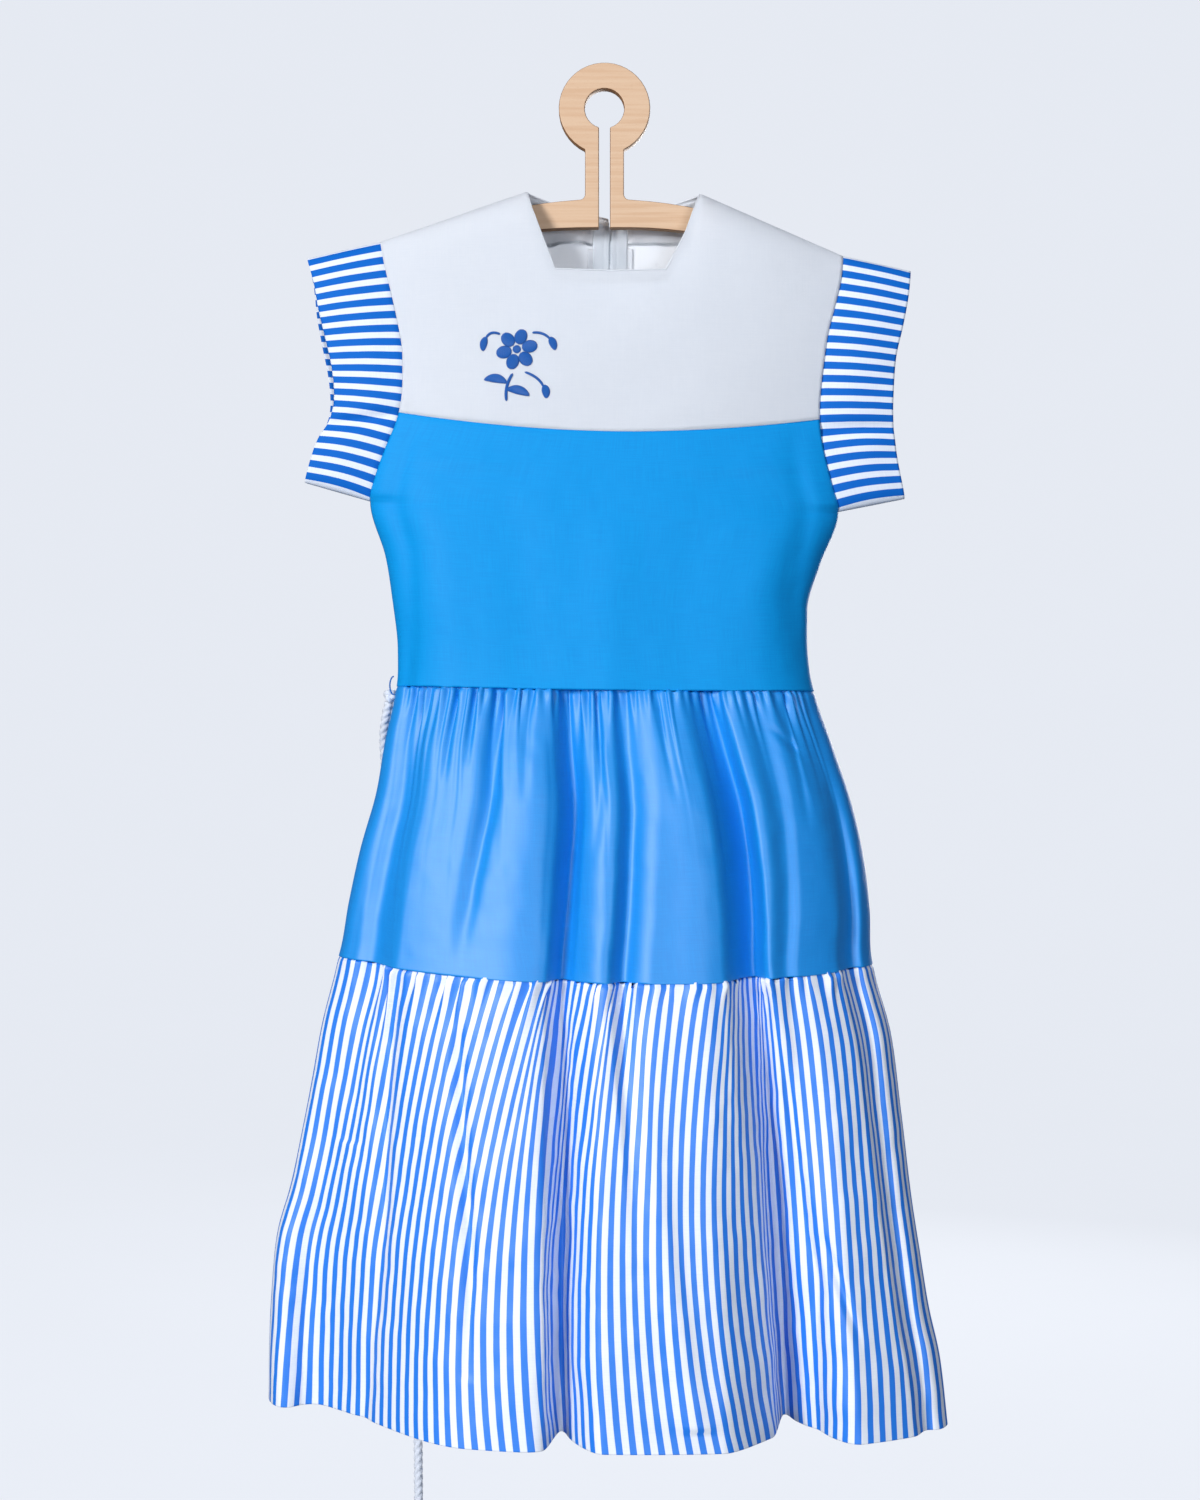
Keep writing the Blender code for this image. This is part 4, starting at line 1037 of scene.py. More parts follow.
    def fold_offsets(self, front: bool, level: float, across: np.ndarray, width: float) -> tuple:
        """Depth and sideways shift that the large folds give to points across a level.

        Args:
            front: True for the front of the dress.
            level: the level.
            across: shares across the dress, from its left to its right.
            width: the dress's width at that level.

        Returns:
            Depths inwards, and shifts along X.
        """
        depth, shift = np.zeros_like(across), np.zeros_like(across)
        for fold in FRONT_FOLDS if front else BACK_FOLDS:
            if not fold.start <= level <= fold.end:
                continue
            down = (level - fold.start) / (fold.end - fold.start)
            place = fold.place_top + (fold.place_end - fold.place_top) * down
            height = fold.depth_top + (fold.depth_end - fold.depth_top) * down
            away = (across - place) * width
            reach = np.where(away < 0, fold.left, fold.right)
            depth += height * 0.5 * (1 + np.cos(np.pi * np.clip(away / reach, -1, 1)))
            lip = np.clip(1 - np.abs(away + fold.left) / (2 * fold.left), 0, 1)
            shift += fold.lip * down * lip
        return depth, shift

    def crease_depth(self, front: bool, level: float, across: np.ndarray, width: float) -> np.ndarray:
        """Depth that the small creases give to points across a level.

        Args:
            front: True for the front of the dress.
            level: the level.
            across: shares across the dress, from its left to its right.
            width: the dress's width at that level.

        Returns:
            Depths inwards.
        """
        depth = np.zeros_like(across)
        for crease in FRONT_CREASES if front else BACK_CREASES:
            levels = [mark[0] for mark in crease.track]
            if not levels[0] <= level <= levels[-1]:
                continue
            place = float(smooth_track(levels, [mark[1] for mark in crease.track], level))
            height = float(smooth_track(levels, [mark[2] for mark in crease.track], level))
            depth += height * np.exp(-(((across - place) * width / crease.width) ** 2))
        return depth

    def straight_x(self, level: float, across: np.ndarray, left: float, right: float) -> np.ndarray:
        """Places across a level, on straight threads below the tier seam apart from near the sides.

        Args:
            level: the level.
            across: shares across the dress.
            left: the left side at that level.
            right: the right side.

        Returns:
            X of each point.
        """
        if level <= TIER:
            return left + (right - left) * across
        down = (level - TIER) / (HEM - TIER)
        edges = []
        for name in ("left", "right"):
            ends = [float(read_table(self.sides, name, end)) for end in (TIER, HEM)]
            edges.append(ends[0] * (1 - down) + ends[1] * down)
        width = edges[1] - edges[0]
        near = [np.exp(-((away * width / self.side_reach) ** 2)) for away in (across, 1 - across)]
        x = edges[0] + width * across
        return x + (left - edges[0]) * near[0] + (right - edges[1]) * near[1]

    def body_line(self, level: float, front: bool) -> np.ndarray:
        """Points across one level from left to right, with the creases' depth and the share across.

        Args:
            level: the level.
            front: True for the front of the dress.

        Returns:
            For each point X, Y, Z, the creases' depth and the share across.
        """
        across = (1 - np.cos(np.linspace(0.0, math.pi, self.samples))) / 2
        left, right = read_table(self.sides, "left", level), read_table(self.sides, "right", level)
        width = right - left
        ends = read_table(self.depths, "left", level), read_table(self.depths, "right", level)
        middle = read_table(self.depths, "front" if front else "back", level)
        outward = -1.0 if front else 1.0
        reach = float(np.interp(level, self.hollow_levels, self.hollow_widths))
        near = np.minimum(across, 1 - across) * width / reach
        hollow = self.armhole_depth(level) * np.exp(-near * near)
        edge = ends[0] * (1 - across) + ends[1] * across + outward * hollow
        flat, power = read_table(self.depths, "flat", level), read_table(self.depths, "turn", level)
        bulge = (1 - np.abs(2 * across - 1) ** flat) ** power
        depth, shift = self.fold_offsets(front, level, across, width)
        damping = np.clip(bulge * self.side_calm, 0, 1)
        x = self.straight_x(level, across, left, right) + shift * damping
        y = edge + (middle - edge) * bulge - outward * depth * damping
        crease = -outward * self.crease_depth(front, level, across, width) * damping
        return np.stack([x, y, self.seam_height(level, across), crease, across], axis=1)

    def panel_line(self, level: float, part: Part) -> np.ndarray:
        """The line across one level of a whole front or back, or of one half of the back.

        Args:
            level: the level.
            part: which panel.

        Returns:
            Rows as body_line gives them.
        """
        line = self.body_line(level, part is Part.FRONT)
        if part in (Part.FRONT, Part.BACK):
            return line
        sign = -1 if part is Part.BACK_LEFT else 1
        limit = self.centre_back_x(level) + sign * self.half_gap(level)
        middle = np.array([[np.interp(limit, line[:, 0], line[:, axis]) for axis in range(line.shape[1])]])
        if part is Part.BACK_LEFT:
            return np.concatenate([line[line[:, 0] < limit - WELD], middle])
        return np.concatenate([middle, line[line[:, 0] > limit + WELD]])

    def even_shares(self, level: float, part: Part, places: np.ndarray) -> np.ndarray:
        """Shares across the dress of threads that lie evenly along a line, as seen from above.

        Args:
            level: the level.
            part: which panel.
            places: shares along the line.

        Returns:
            Shares across the dress.
        """
        line = self.panel_line(level, part)
        length = lengths_along(line[:, :2])
        return np.interp(places * length[-1], length, line[:, 4])

    def threads(self, levels: np.ndarray, part: Part, places: np.ndarray) -> np.ndarray:
        """Grid of threads that run smoothly down a panel and lie evenly at its ends and its middle.

        Args:
            levels: the rows' levels.
            part: which panel.
            places: shares along each row.

        Returns:
            Rows by columns by three coordinates.
        """
        first, last = levels[0], levels[-1]
        ends = [self.even_shares(level, part, places) for level in (first, (first + last) / 2, last)]
        grid = []
        for level in levels:
            down = (level - first) / (last - first)
            share = ends[0] * (1 - down) * (1 - 2 * down) + ends[1] * 4 * down * (1 - down)
            share = share + ends[2] * down * (2 * down - 1)
            line = self.panel_line(level, part)
            share = np.clip(share, line[0, 4], line[-1, 4])
            share[0], share[-1] = line[0, 4], line[-1, 4]
            marks = [np.interp(share, line[:, 4], line[:, axis]) for axis in range(4)]
            drag = self.drag * np.abs(marks[3])
            grid.append(np.stack([marks[0] + drag, marks[1] + marks[3], marks[2]], axis=1))
        return np.array(grid)

    def shoulder_height(self, x: object) -> np.ndarray:
        """Height of the shoulder line above a place, level over the neck."""
        places = (self.sides[0].left, self.neck_left[0], self.neck_right[0], self.sides[0].right)
        heights = (self.seams[0].left, self.neck_left[1], self.neck_right[1], self.seams[0].right)
        return np.interp(x, places, heights)

    def yoke_grid(self, front: bool, stations: Sequence[Station], rows: np.ndarray) -> np.ndarray:
        """Grid of a yoke from its shoulder and neck edge down to the chest seam.

        Args:
            front: True for the front yoke.
            stations: points along its top edge.
            rows: shares of the way down.

        Returns:
            Rows by columns by three coordinates.
        """
        top, share = [np.array(stations[0].place)], [stations[0].share]
        for before, after in zip(stations, stations[1:]):
            for step in range(1, after.columns + 1):
                part = step / after.columns
                top.append(np.array(before.place) * (1 - part) + np.array(after.place) * part)
                share.append(before.share * (1 - part) + after.share * part)
        top, share = np.array(top), np.array(share)
        seam = self.body_line(YOKE, front)
        along = (seam[:, 0] - seam[0, 0]) / (seam[-1, 0] - seam[0, 0])
        bottom = np.stack([np.interp(share, along, seam[:, axis]) for axis in (0, 2)], axis=1)
        outward = -1.0 if front else 1.0
        middle_top = self.front_depth if front else self.back_depth
        middle_end = abs(float(read_table(self.depths, "front" if front else "back", YOKE)))
        grid = np.zeros((len(rows), len(share), 3))
        for row, down in enumerate(rows):
            level = YOKE * down
            flat = top * (1 - down) + bottom * down
            for edge, name, weight in ((0, "left", 1 - share), (1, "right", share)):
                if not math.isclose(share[-edge], edge, abs_tol=WELD):
                    continue
                wanted = np.array([read_table(self.sides, name, level), self.seam_height(level, float(edge))])
                straight = top[-edge] * (1 - down) + bottom[-edge] * down
                flat = flat + (wanted - straight) * weight[:, None] ** 2
            drop = self.shoulder_height(flat[:, 0]) - flat[:, 1]
            rounded = np.sqrt(1 - (1 - np.clip(drop / self.shoulder_round, 0, 1)) ** 2)
            along_seam = (flat[:, 0] - seam[0, 0]) / (seam[-1, 0] - seam[0, 0])
            fallen = drop / (self.shoulder_height(flat[:, 0]) - self.seam_height(YOKE, along_seam))
            middle = (middle_top + (middle_end - middle_top) * np.clip(fallen, 0, 1)) * rounded
            edge_depth = self.armhole_depth(level)
            bulge = 1 - np.abs(2 * share - 1) ** read_table(self.depths, "flat", YOKE)
            grid[row, :, 0] = flat[:, 0]
            grid[row, :, 1] = outward * (edge_depth + (middle - edge_depth) * bulge)
            grid[row, :, 2] = flat[:, 1]
        return grid

    def back_neck_point(self, share: float, left: bool) -> tuple[float, float]:
        """A point of the back neck edge, from 0 at the shoulder seam to 1 at the zip.

        Args:
            share: share along the edge.
            left: True for the left half.

        Returns:
            X and Z of the point.
        """
        corner = self.neck_left if left else self.neck_right
        middle = self.centre_back_x(SHOULDER) + (-self.zip_half_gap if left else self.zip_half_gap)
        rise = (corner[1] - self.back_neck_z) * (1 - share) ** self.back_neck_power
        return (corner[0] + (middle - corner[0]) * share, self.back_neck_z + rise)

    def back_stations(self, left: bool, shoulder: int, neck: int) -> list[Station]:
        """Stations of one half of the back yoke, from left to right.

        Args:
            left: True for the left half.
            shoulder: columns along the shoulder.
            neck: columns along each quarter of the neck edge.

        Returns:
            The stations in order.
        """
        seam_left, seam_right = read_table(self.sides, "left", YOKE), read_table(self.sides, "right", YOKE)
        middle = self.centre_back_x(YOKE) + (-self.zip_half_gap if left else self.zip_half_gap)
        middle_share = float((middle - seam_left) / (seam_right - seam_left))
        first, last = self.seams[0], self.sides[0]
        outer = self.left_share if left else self.right_share
        points = [
            Station(self.back_neck_point(share, left), outer + (middle_share - outer) * share, neck)
            for share in (0.0, 0.25, 0.5, 0.75, 1.0)
        ]
        if left:
            start = Station((last.left, first.left), 0.0, 0)
            return [start, points[0]._replace(columns=shoulder)] + points[1:]
        return points[::-1] + [Station((last.right, first.right), 1.0, shoulder)]

    def back_surface(self, x: float, z: float) -> float:
        """Depth of the back yoke beside the zip at a height.

        Args:
            x: place across.
            z: height.

        Returns:
            Y of the cloth.
        """
        drop = float(self.shoulder_height(x)) - z
        seam = float(self.seam_height(YOKE, 0.5))
        down = min(max((self.back_neck_z - z) / (self.back_neck_z - seam), 0.0), 1.0)
        rounded = math.sqrt(1 - (1 - min(drop / self.shoulder_round, 1)) ** 2)
        end = float(read_table(self.depths, "back", YOKE))
        return (self.back_depth + (end - self.back_depth) * down) * rounded


FORM = DressForm()


@dataclass(frozen=True)
class Panel:
    """One cut piece of cloth between two seams, or between a seam and the hem."""

    node: str
    part: Part
    first: float
    last: float
    rows: int
    columns: int
    flat: tuple[float, float]
    area: float | None = None
    gathers: Gathers | None = None
    tuck: float = 0.0012
    sideways: float = 0.0012
    crumples: float = 0.0007
    seed: int = 1
    seam_rows: tuple[float, float] = (0.25, 0.6)
    calm_pleats: float = 4.0
    ease: float = 0.020
    dent: float = 0.030
    small_dent: float = 0.012
    stitch_hold: float = 0.6
    stitch_reach: float = 0.003
    tuck_reach: float = 0.002
    lift_reach: float = 0.0012

    def levels(self) -> np.ndarray:
        """Levels of the rows, closer together beside the seams.

        Returns:
            The levels, rising.
        """
        even = np.linspace(self.first, self.last, self.rows + 1)
        step = (self.last - self.first) / self.rows
        close = np.array(self.seam_rows)
        return np.sort(np.concatenate([even, self.first + close * step, self.last - close * step]))

    def gather_waves(self, places: np.ndarray) -> tuple[np.ndarray, np.ndarray, np.ndarray]:
        """Height, sideways shift and reach of the gathers at each thread.

        Args:
            places: shares across the panel.

        Returns:
            For each thread, a height, a shift and a reach.
        """
        columns = 2 * self.gathers.count
        marks = np.array([0.0] + [(n + 0.5 * (uneven(n) - 0.5)) / columns for n in range(1, columns)] + [1.0])
        from_side = np.minimum(marks, 1 - marks) * columns
        calm = np.clip((from_side - self.calm_pleats) / self.calm_pleats, 0, 1)
        numbers = range(columns + 1)
        heights = np.array([(1 if n % 2 else -1) * (0.35 + 1.0 * uneven(n + 7)) for n in numbers]) * calm
        shifts = np.array([uneven(n + 91) * 2 - 1 for n in numbers]) * calm
        reaches = np.array([0.25 + 1.5 * uneven(n // 2 + 31) ** 2 for n in numbers])
        span = np.clip(np.searchsorted(marks, places) - 1, 0, columns - 1)
        share = (places - marks[span]) / (marks[span + 1] - marks[span])
        share = (1 - np.cos(np.pi * share)) / 2
        waves = [table[span] * (1 - share) + table[span + 1] * share for table in (heights, shifts, reaches)]
        return waves[0] * self.gathers.height, waves[1] * self.sideways, waves[2] * self.gathers.reach

    def grid(self) -> tuple[np.ndarray, np.ndarray]:
        """Points of the panel and their places on the flat cloth.

        Returns:
            The points and their UV coordinates.
        """
        places = np.linspace(0, 1, self.columns + 1)
        points = FORM.threads(self.levels(), self.part, places)
        down = lengths_down(points)
        left = down[-1] - down
        normals = outward_normals(points)
        flat_down = down.mean(axis=1)[:, None] * np.ones((1, len(places)))
        flat_across = np.ones((len(down), 1)) * places[None, :] * self.flat[0]
        edge = np.minimum(np.minimum(down, left), np.minimum(places, 1 - places)[None, :] * self.flat[0])
        ease = np.clip(edge / self.ease, 0, 1)
        dents = crumple(flat_across, flat_down, self.dent, self.seed)
        dents = dents + 0.5 * crumple(flat_across, flat_down, self.small_dent, 5)
        points = points + normals * (dents * ease * self.crumples)[:, :, None]
        if self.gathers:
            height, shift, reach = self.gather_waves(places)
            held = self.stitch_hold * np.exp(-((down / self.stitch_reach) ** 2))
            fade = (1 - held) * np.exp(-down / reach[None, :])
            points = points + normals * (height[None, :] * fade)[:, :, None]
            points[:, :, 0] += shift[None, :] * fade
        points = points - normals * (self.tuck * np.exp(-((down / self.tuck_reach) ** 2)))[:, :, None]
        points[:, :, 2] += self.tuck * np.exp(-((down / self.lift_reach) ** 2))
        return points, np.stack([flat_across, -flat_down], axis=2)

    def build(self, material: Material, slot: str) -> Object:
        """Args:
            material: its finish.
            slot: a material slot's name, passed on to add_piece.

        Returns:
            The panel's object.
        """
        points, uv = self.grid()
        piece = thicken(add_piece(grid_mesh(self.node + "_cloth", points, uv), material, slot, self.node))
        return piece


@dataclass(frozen=True)
class Skirt:
    """The two gathered tiers and the bodice above them."""

    def build(self, wardrobe: Wardrobe) -> None:
        """Make every panel below the chest seam.

        Args:
            wardrobe: the finishes.
        """
        levels = {
            "bodice": (YOKE, WAIST, 78, {"tuck": 0.0007, "crumples": 0.0003}),
            "upper": (WAIST, TIER, 88, {"tuck": 0.0011, "crumples": 0.0004}),
            "lower": (TIER, HEM, 112, {"tuck": 0.0014, "sideways": 0.0046}),
        }
        finishes = {
            "bodice": (wardrobe.bodice, "azure cotton"),
            "upper": (wardrobe.azure, "azure cotton"),
            "lower": (wardrobe.striped, "striped cotton"),
        }
        cuts = (
            ("bodice_front", Part.FRONT, 150, (0.43, 0.215), 0.080, None),
            ("bodice_back_left", Part.BACK_LEFT, 76, (0.20, 0.215), 0.038, None),
            ("bodice_back_right", Part.BACK_RIGHT, 76, (0.20, 0.215), 0.038, None),
            ("upper_tier_front", Part.FRONT, 420, (0.60, 0.228), None, Gathers(50, 0.0028, 0.030)),
            ("upper_tier_back_left", Part.BACK_LEFT, 176, (0.27, 0.228), None, Gathers(25, 0.0028, 0.030)),
            ("upper_tier_back_right", Part.BACK_RIGHT, 176, (0.27, 0.228), None, Gathers(25, 0.0028, 0.030)),
            ("lower_tier_front", Part.FRONT, 420, (0.749, 0.360), None, Gathers(46, 0.0030, 0.020)),
            ("lower_tier_back", Part.BACK, 330, (0.710, 0.360), None, Gathers(40, 0.0030, 0.020)),
        )
        for seed, (node, part, columns, flat, area, gathers) in enumerate(cuts, 1):
            tier = node.split("_")[0]
            first, last, rows, values = levels[tier]
            panel = Panel(node, part, first, last, rows, columns, flat, area, gathers, seed=seed, **values)
            panel.build(*finishes[tier])


@dataclass
class Yoke:
    """The white yoke, its faced square neck and the flower sprig sewn on it."""

    corner_left: tuple[float, float] = (-0.0391, -0.1490)
    corner_right: tuple[float, float] = (0.0485, -0.1494)
    rows: int = 64
    row_power: float = 1.6
    crumples: float = 0.0006
    dent: float = 0.045
    small_dent: float = 0.018
    ease: float = 0.02
    roll: float = 0.0007
    shoulder_columns: int = 44
    neck_columns: int = 7
    facing_rows: int = 14
    facing_gap: float = 0.0014
    facing_slip: float = 0.0016

    def front_stations(self) -> list[Station]:
        """Stations of the front yoke, whose neck edge bows a little.

        Returns:
            The stations from left to right.
        """
        return [
            Station((FORM.sides[0].left, FORM.seams[0].left), 0.0, 0),
            Station(FORM.neck_left, FORM.left_share, 46),
            Station((-0.0578, -0.0995), 0.346, 5),
            Station((-0.0509, -0.1179), 0.363, 5),
            Station(self.corner_left, 0.385, 6),
            Station((0.0047, -0.1506), 0.510, 22),
            Station(self.corner_right, 0.635, 22),
            Station((0.0608, -0.1258), 0.666, 6),
            Station((0.0650, -0.1171), 0.679, 4),
            Station(FORM.neck_right, FORM.right_share, 6),
            Station((FORM.sides[0].right, FORM.seams[0].right), 1.0, 46),
        ]

    def cloth(self, grid: np.ndarray, seed: int) -> tuple[np.ndarray, np.ndarray]:
        """Crumple a yoke's grid a little and give its places on the flat cloth.

        Args:
            grid: the yoke's points.
            seed: which crumple.

        Returns:
            The new points and their UV coordinates.
        """
        across, down = grid[:, :, 0], -grid[:, :, 2]
        fall = lengths_down(grid)
        rows = np.linspace(0, 1, grid.shape[1])
        from_side = np.minimum(rows, 1 - rows)[None, :]
        ease = np.clip(np.minimum(from_side * 20, (fall[-1] - fall) / self.ease), 0, 1)
        ease = ease * np.clip(fall / self.ease, 0, 1)
        dents = crumple(across, down, self.dent, seed)
        dents = dents + 0.4 * crumple(across, down, self.small_dent, seed + 1)
        normals = outward_normals(grid)
        return grid + normals * (dents * ease * self.crumples)[:, :, None], np.stack([across, -down], axis=2)

    def build(self, wardrobe: Wardrobe) -> Object:
        """Make the yoke's three panels and its neck edge, and give back the front.

        Args:
            wardrobe: the finishes.

        Returns:
            The front yoke's object.
        """
        rows = np.linspace(0, 1, self.rows + 1) ** self.row_power
        stations = self.front_stations()
        grid, uv = self.cloth(FORM.yoke_grid(True, stations, rows), 11)
        mesh = grid_mesh("yoke_front_cloth", grid, uv)
        front = thicken(add_piece(mesh, wardrobe.white, "white cotton", "yoke_front"))
        first = stations[1].columns
        last = first + sum(station.columns for station in stations[2:-1])
        edges = [grid[0, first:last + 1]]
        for left, name in ((True, "left"), (False, "right")):
            stations = FORM.back_stations(left, self.shoulder_columns, self.neck_columns)
            half, uv = self.cloth(FORM.yoke_grid(False, stations, rows), 13 + left)
            mesh = grid_mesh(f"yoke_back_{name}_cloth", half, uv)
            piece = thicken(add_piece(mesh, wardrobe.white, "white cotton", f"yoke_back_{name}"))
            edges.append(half[0, self.shoulder_columns:] if left else half[0, :-self.shoulder_columns])
            edges.append(half[:, -1] if left else half[:, 0])
        meshes = [tube_mesh("edge", edge, self.roll, 8) for edge in edges]
        add_piece(join_meshes("neck_edge_turned", meshes), wardrobe.white, "white cotton")
        under = grid - outward_normals(grid) * self.facing_gap
        inner = under[:self.facing_rows, first:last + 1]
        slip = np.linspace(0, self.facing_slip, inner.shape[1])
        inner[:, :, 0] -= slip[None, :] * np.linspace(1, 0, self.facing_rows)[:, None]
        facing = grid_mesh("front_neck_facing", inner, inner[:, :, ::2])
        piece = thicken(add_piece(facing, wardrobe.white, "white cotton"))
        return front


@dataclass(frozen=True)
class Petal:
    """One satin-stitched shape: the middle line that it follows and its width."""

    start: tuple[float, float]
    bend: tuple[float, float]
    end: tuple[float, float]
    width: float
    point: float = 0.7


@dataclass
class FlowerSprig:
    """A plain flower with leaves and buds in satin stitch, on the left of the chest."""

    middle: tuple[float, float] = (-0.0690, -0.2130)
    petals: int = 6
    petal_start: float = 0.0042
    petal_length: float = 0.0165
    petal_width: float = 0.0100
    petal_turn: float = 12.0
    rise: float = 0.0007
    lift: float = 0.0005
    rounding: float = 0.001
    marks_along: int = 19
    marks_across: int = 11
    leaves: tuple[tuple, ...] = (
        (((-0.0032, 0.0), (0.0, 0.0), (0.0032, 0.0)), 0.0064, 0.5),
        (((-0.003, -0.019), (-0.010, -0.029), (-0.008, -0.041)), 0.0022, 0.1),
        (((-0.0075, -0.027), (-0.016, -0.020), (-0.026, -0.024)), 0.0070),
        (((-0.0085, -0.032), (0.002, -0.030), (0.010, -0.037)), 0.0070),
        (((0.006, -0.018), (0.018, -0.022), (0.021, -0.030)), 0.0018, 0.1),
        (((0.0205, -0.029), (0.024, -0.032), (0.023, -0.039)), 0.0064, 0.5),
        (((0.012, 0.013), (0.021, 0.014), (0.026, 0.008)), 0.0018, 0.1),
        (((0.0255, 0.009), (0.029, 0.006), (0.0300, -0.001)), 0.0060, 0.5),
        (((-0.013, 0.012), (-0.021, 0.016), (-0.0245, 0.009)), 0.0018, 0.1),
        (((-0.0240, 0.010), (-0.027, 0.006), (-0.0265, -0.001)), 0.0058, 0.5),
    )

    def shapes(self) -> list[Petal]:
        """Every shape of the sprig, in metres on the chest.

        Returns:
            The shapes, the flower first.
        """
        x, z = self.middle
        found = []
        for number in range(self.petals):
            angle = math.radians(360 / self.petals * number + self.petal_turn)
            ways = (self.petal_start, (self.petal_start + self.petal_length) / 2, self.petal_length)
            marks = [(x + math.cos(angle) * way, z + math.sin(angle) * way) for way in ways]
            found.append(Petal(*marks, self.petal_width, 0.45))
        for marks, *shape in self.leaves:
            found.append(Petal(*[(x + across, z + up) for across, up in marks], *shape))
        return found

    def build(self, wardrobe: Wardrobe, cloth: Object) -> None:
        """Sew every shape on the cloth.

        Args:
            wardrobe: the finishes.
            cloth: the front yoke.
        """
        mesh = cloth.data
        surface = BVHTree.FromPolygons(
            [vertex.co for vertex in mesh.vertices], [tuple(face.vertices) for face in mesh.polygons]
        )
        pads = []
        for shape in self.shapes():
            along = np.linspace(0, 1, self.marks_along)
            start, bend, end = (np.array(point) for point in (shape.start, shape.bend, shape.end))
            line = (
                start * ((1 - along) ** 2)[:, None]
                + bend * (2 * along * (1 - along))[:, None]
                + end * (along**2)[:, None]
            )
            ahead = np.gradient(line, axis=0)
            ahead /= np.linalg.norm(ahead, axis=1, keepdims=True)
            half = shape.width / 2 * np.sin(np.pi * along) ** shape.point
            across = np.linspace(-1, 1, self.marks_across)
            points = np.zeros((len(along), len(across), 3))
            for row in range(len(along)):
                for column, out in enumerate(across):
                    x = line[row, 0] - ahead[row, 1] * half[row] * out
                    z = line[row, 1] + ahead[row, 0] * half[row] * out
                    hit = surface.ray_cast(Vector((x, -1.0, z)), Vector((0.0, 1.0, 0.0)))[0]
                    round_over = math.sqrt(max(1 - out * out, 0.0)) * min(1.0, half[row] / self.rounding)
                    points[row, column] = (x, hit.y - self.lift - self.rise * round_over, z)
            uv = np.stack(np.meshgrid(lengths_along(line), across * shape.width / 2, indexing="ij"), axis=2)
            pads.append(grid_mesh("pad", points, uv, weld=True))
        sprig = add_piece(join_meshes("chest_flower_sprig", pads), wardrobe.floss, "azure cotton")
        thicken(sprig, 0.0004)


@dataclass(frozen=True)
class Sleeve:
    """One short sleeve, a tube of striped cloth from its armhole to its open cuff."""

    name: str
    left: bool
    cuff_top: float
    cuff_bottom: float
    back_reach: float
    crease_in: float
    crease_out: float
    cuff_depth: float = 0.013
    bulge: float = 0.004
    crease_depth: float = 0.0055
    crease_width: float = 0.030
    flat_half: float = 0.2033
    flat_length: float = 0.066
    arch: float = 0.0015
    marks: int = 97
    seam_rings: tuple[float, float, float] = (0.0, 0.012, 0.03)
    rings: int = 30
    seam_pinch: float = 0.08
    dent: float = 0.022
    dent_depth: float = 0.0007
    outline: tuple[Cuff, ...] = (
        Cuff(0.00, -0.2375, 0.2445),
        Cuff(0.12, -0.2312, 0.2418),
        Cuff(0.25, -0.2268, 0.2372),
        Cuff(0.38, -0.2212, 0.2318),
        Cuff(0.50, -0.2165, 0.2298),
        Cuff(0.62, -0.2147, 0.2291),
        Cuff(0.72, -0.2180, 0.2303),
        Cuff(0.82, -0.2284, 0.2325),
        Cuff(1.00, -0.2395, 0.2397),
    )

    def grid(self) -> tuple[np.ndarray, np.ndarray]:
        """Points of the sleeve round and round, and their places on the flat cloth.

        Returns:
            The points and their UV coordinates.
        """
        side = "left" if self.left else "right"
        outward = -1.0 if self.left else 1.0
        down = (1 - np.cos(np.linspace(0, math.pi, self.marks))) / 2
        drop = np.concatenate([down, down[-2::-1]])
        front = np.concatenate([-np.ones(len(down)), np.ones(len(down) - 1)])
        roundness = FORM.armhole_depth(drop) / FORM.armhole
        armhole = np.stack([
            read_table(FORM.sides, side, drop),
            front * FORM.armhole * roundness,
            FORM.seam_height(drop, 0.0 if self.left else 1.0),
        ], axis=1)
        reach = np.where(front > 0, self.back_reach, 0.0) * np.sin(np.pi * drop)
        cuff = np.stack([
            read_table(self.outline, side, drop) + outward * reach,
            front * self.cuff_depth * roundness,
            self.cuff_top + (self.cuff_bottom - self.cuff_top) * drop,
        ], axis=1)
        rings = []
        for out in np.concatenate([self.seam_rings, np.linspace(0.06, 1, self.rings)]):
            ring = armhole * (1 - out) + cuff * out
            ring[:, 1] += front * roundness * self.bulge * math.sin(math.pi * out)
            crease = self.crease_in + (self.crease_out - self.crease_in) * out
            swell = math.sin(math.pi * (0.15 + 0.7 * out))
            trough = np.exp(-(((drop - crease) / self.crease_width) ** 2)) * swell
            ring[:, 1] -= front * self.crease_depth * trough
            ring[:, 1] *= 1 - self.seam_pinch * math.exp(-((out / self.seam_rings[-1]) ** 2))
            dents = crumple(drop * self.flat_half, np.full(len(drop), out * 0.06), self.dent, 21 + self.left)
            ring[:, 1] += front * roundness * dents * self.dent_depth
            rings.append(ring)
        grid = np.array(rings)
        turned = np.where(front > 0, 2 - drop, drop) * self.flat_half
        below = 1 / (1 + np.exp((self.crease_in - drop) / 0.02))
        along = lengths_down(grid).mean(axis=1)
        arch = self.arch * np.sin(np.pi * along / along[-1])[:, None] * (below * -front)[None, :]
        return grid, np.stack(np.broadcast_arrays(turned[None, :] + arch, along[:, None]), axis=2)

    def build(self, wardrobe: Wardrobe) -> None:
        """Args:
            wardrobe: the finishes.
        """
        points, uv = self.grid()
        mesh = grid_mesh(self.name + "_cloth", points, uv, weld=True)
        piece = thicken(add_piece(mesh, wardrobe.sleeve, "striped cotton", self.name))


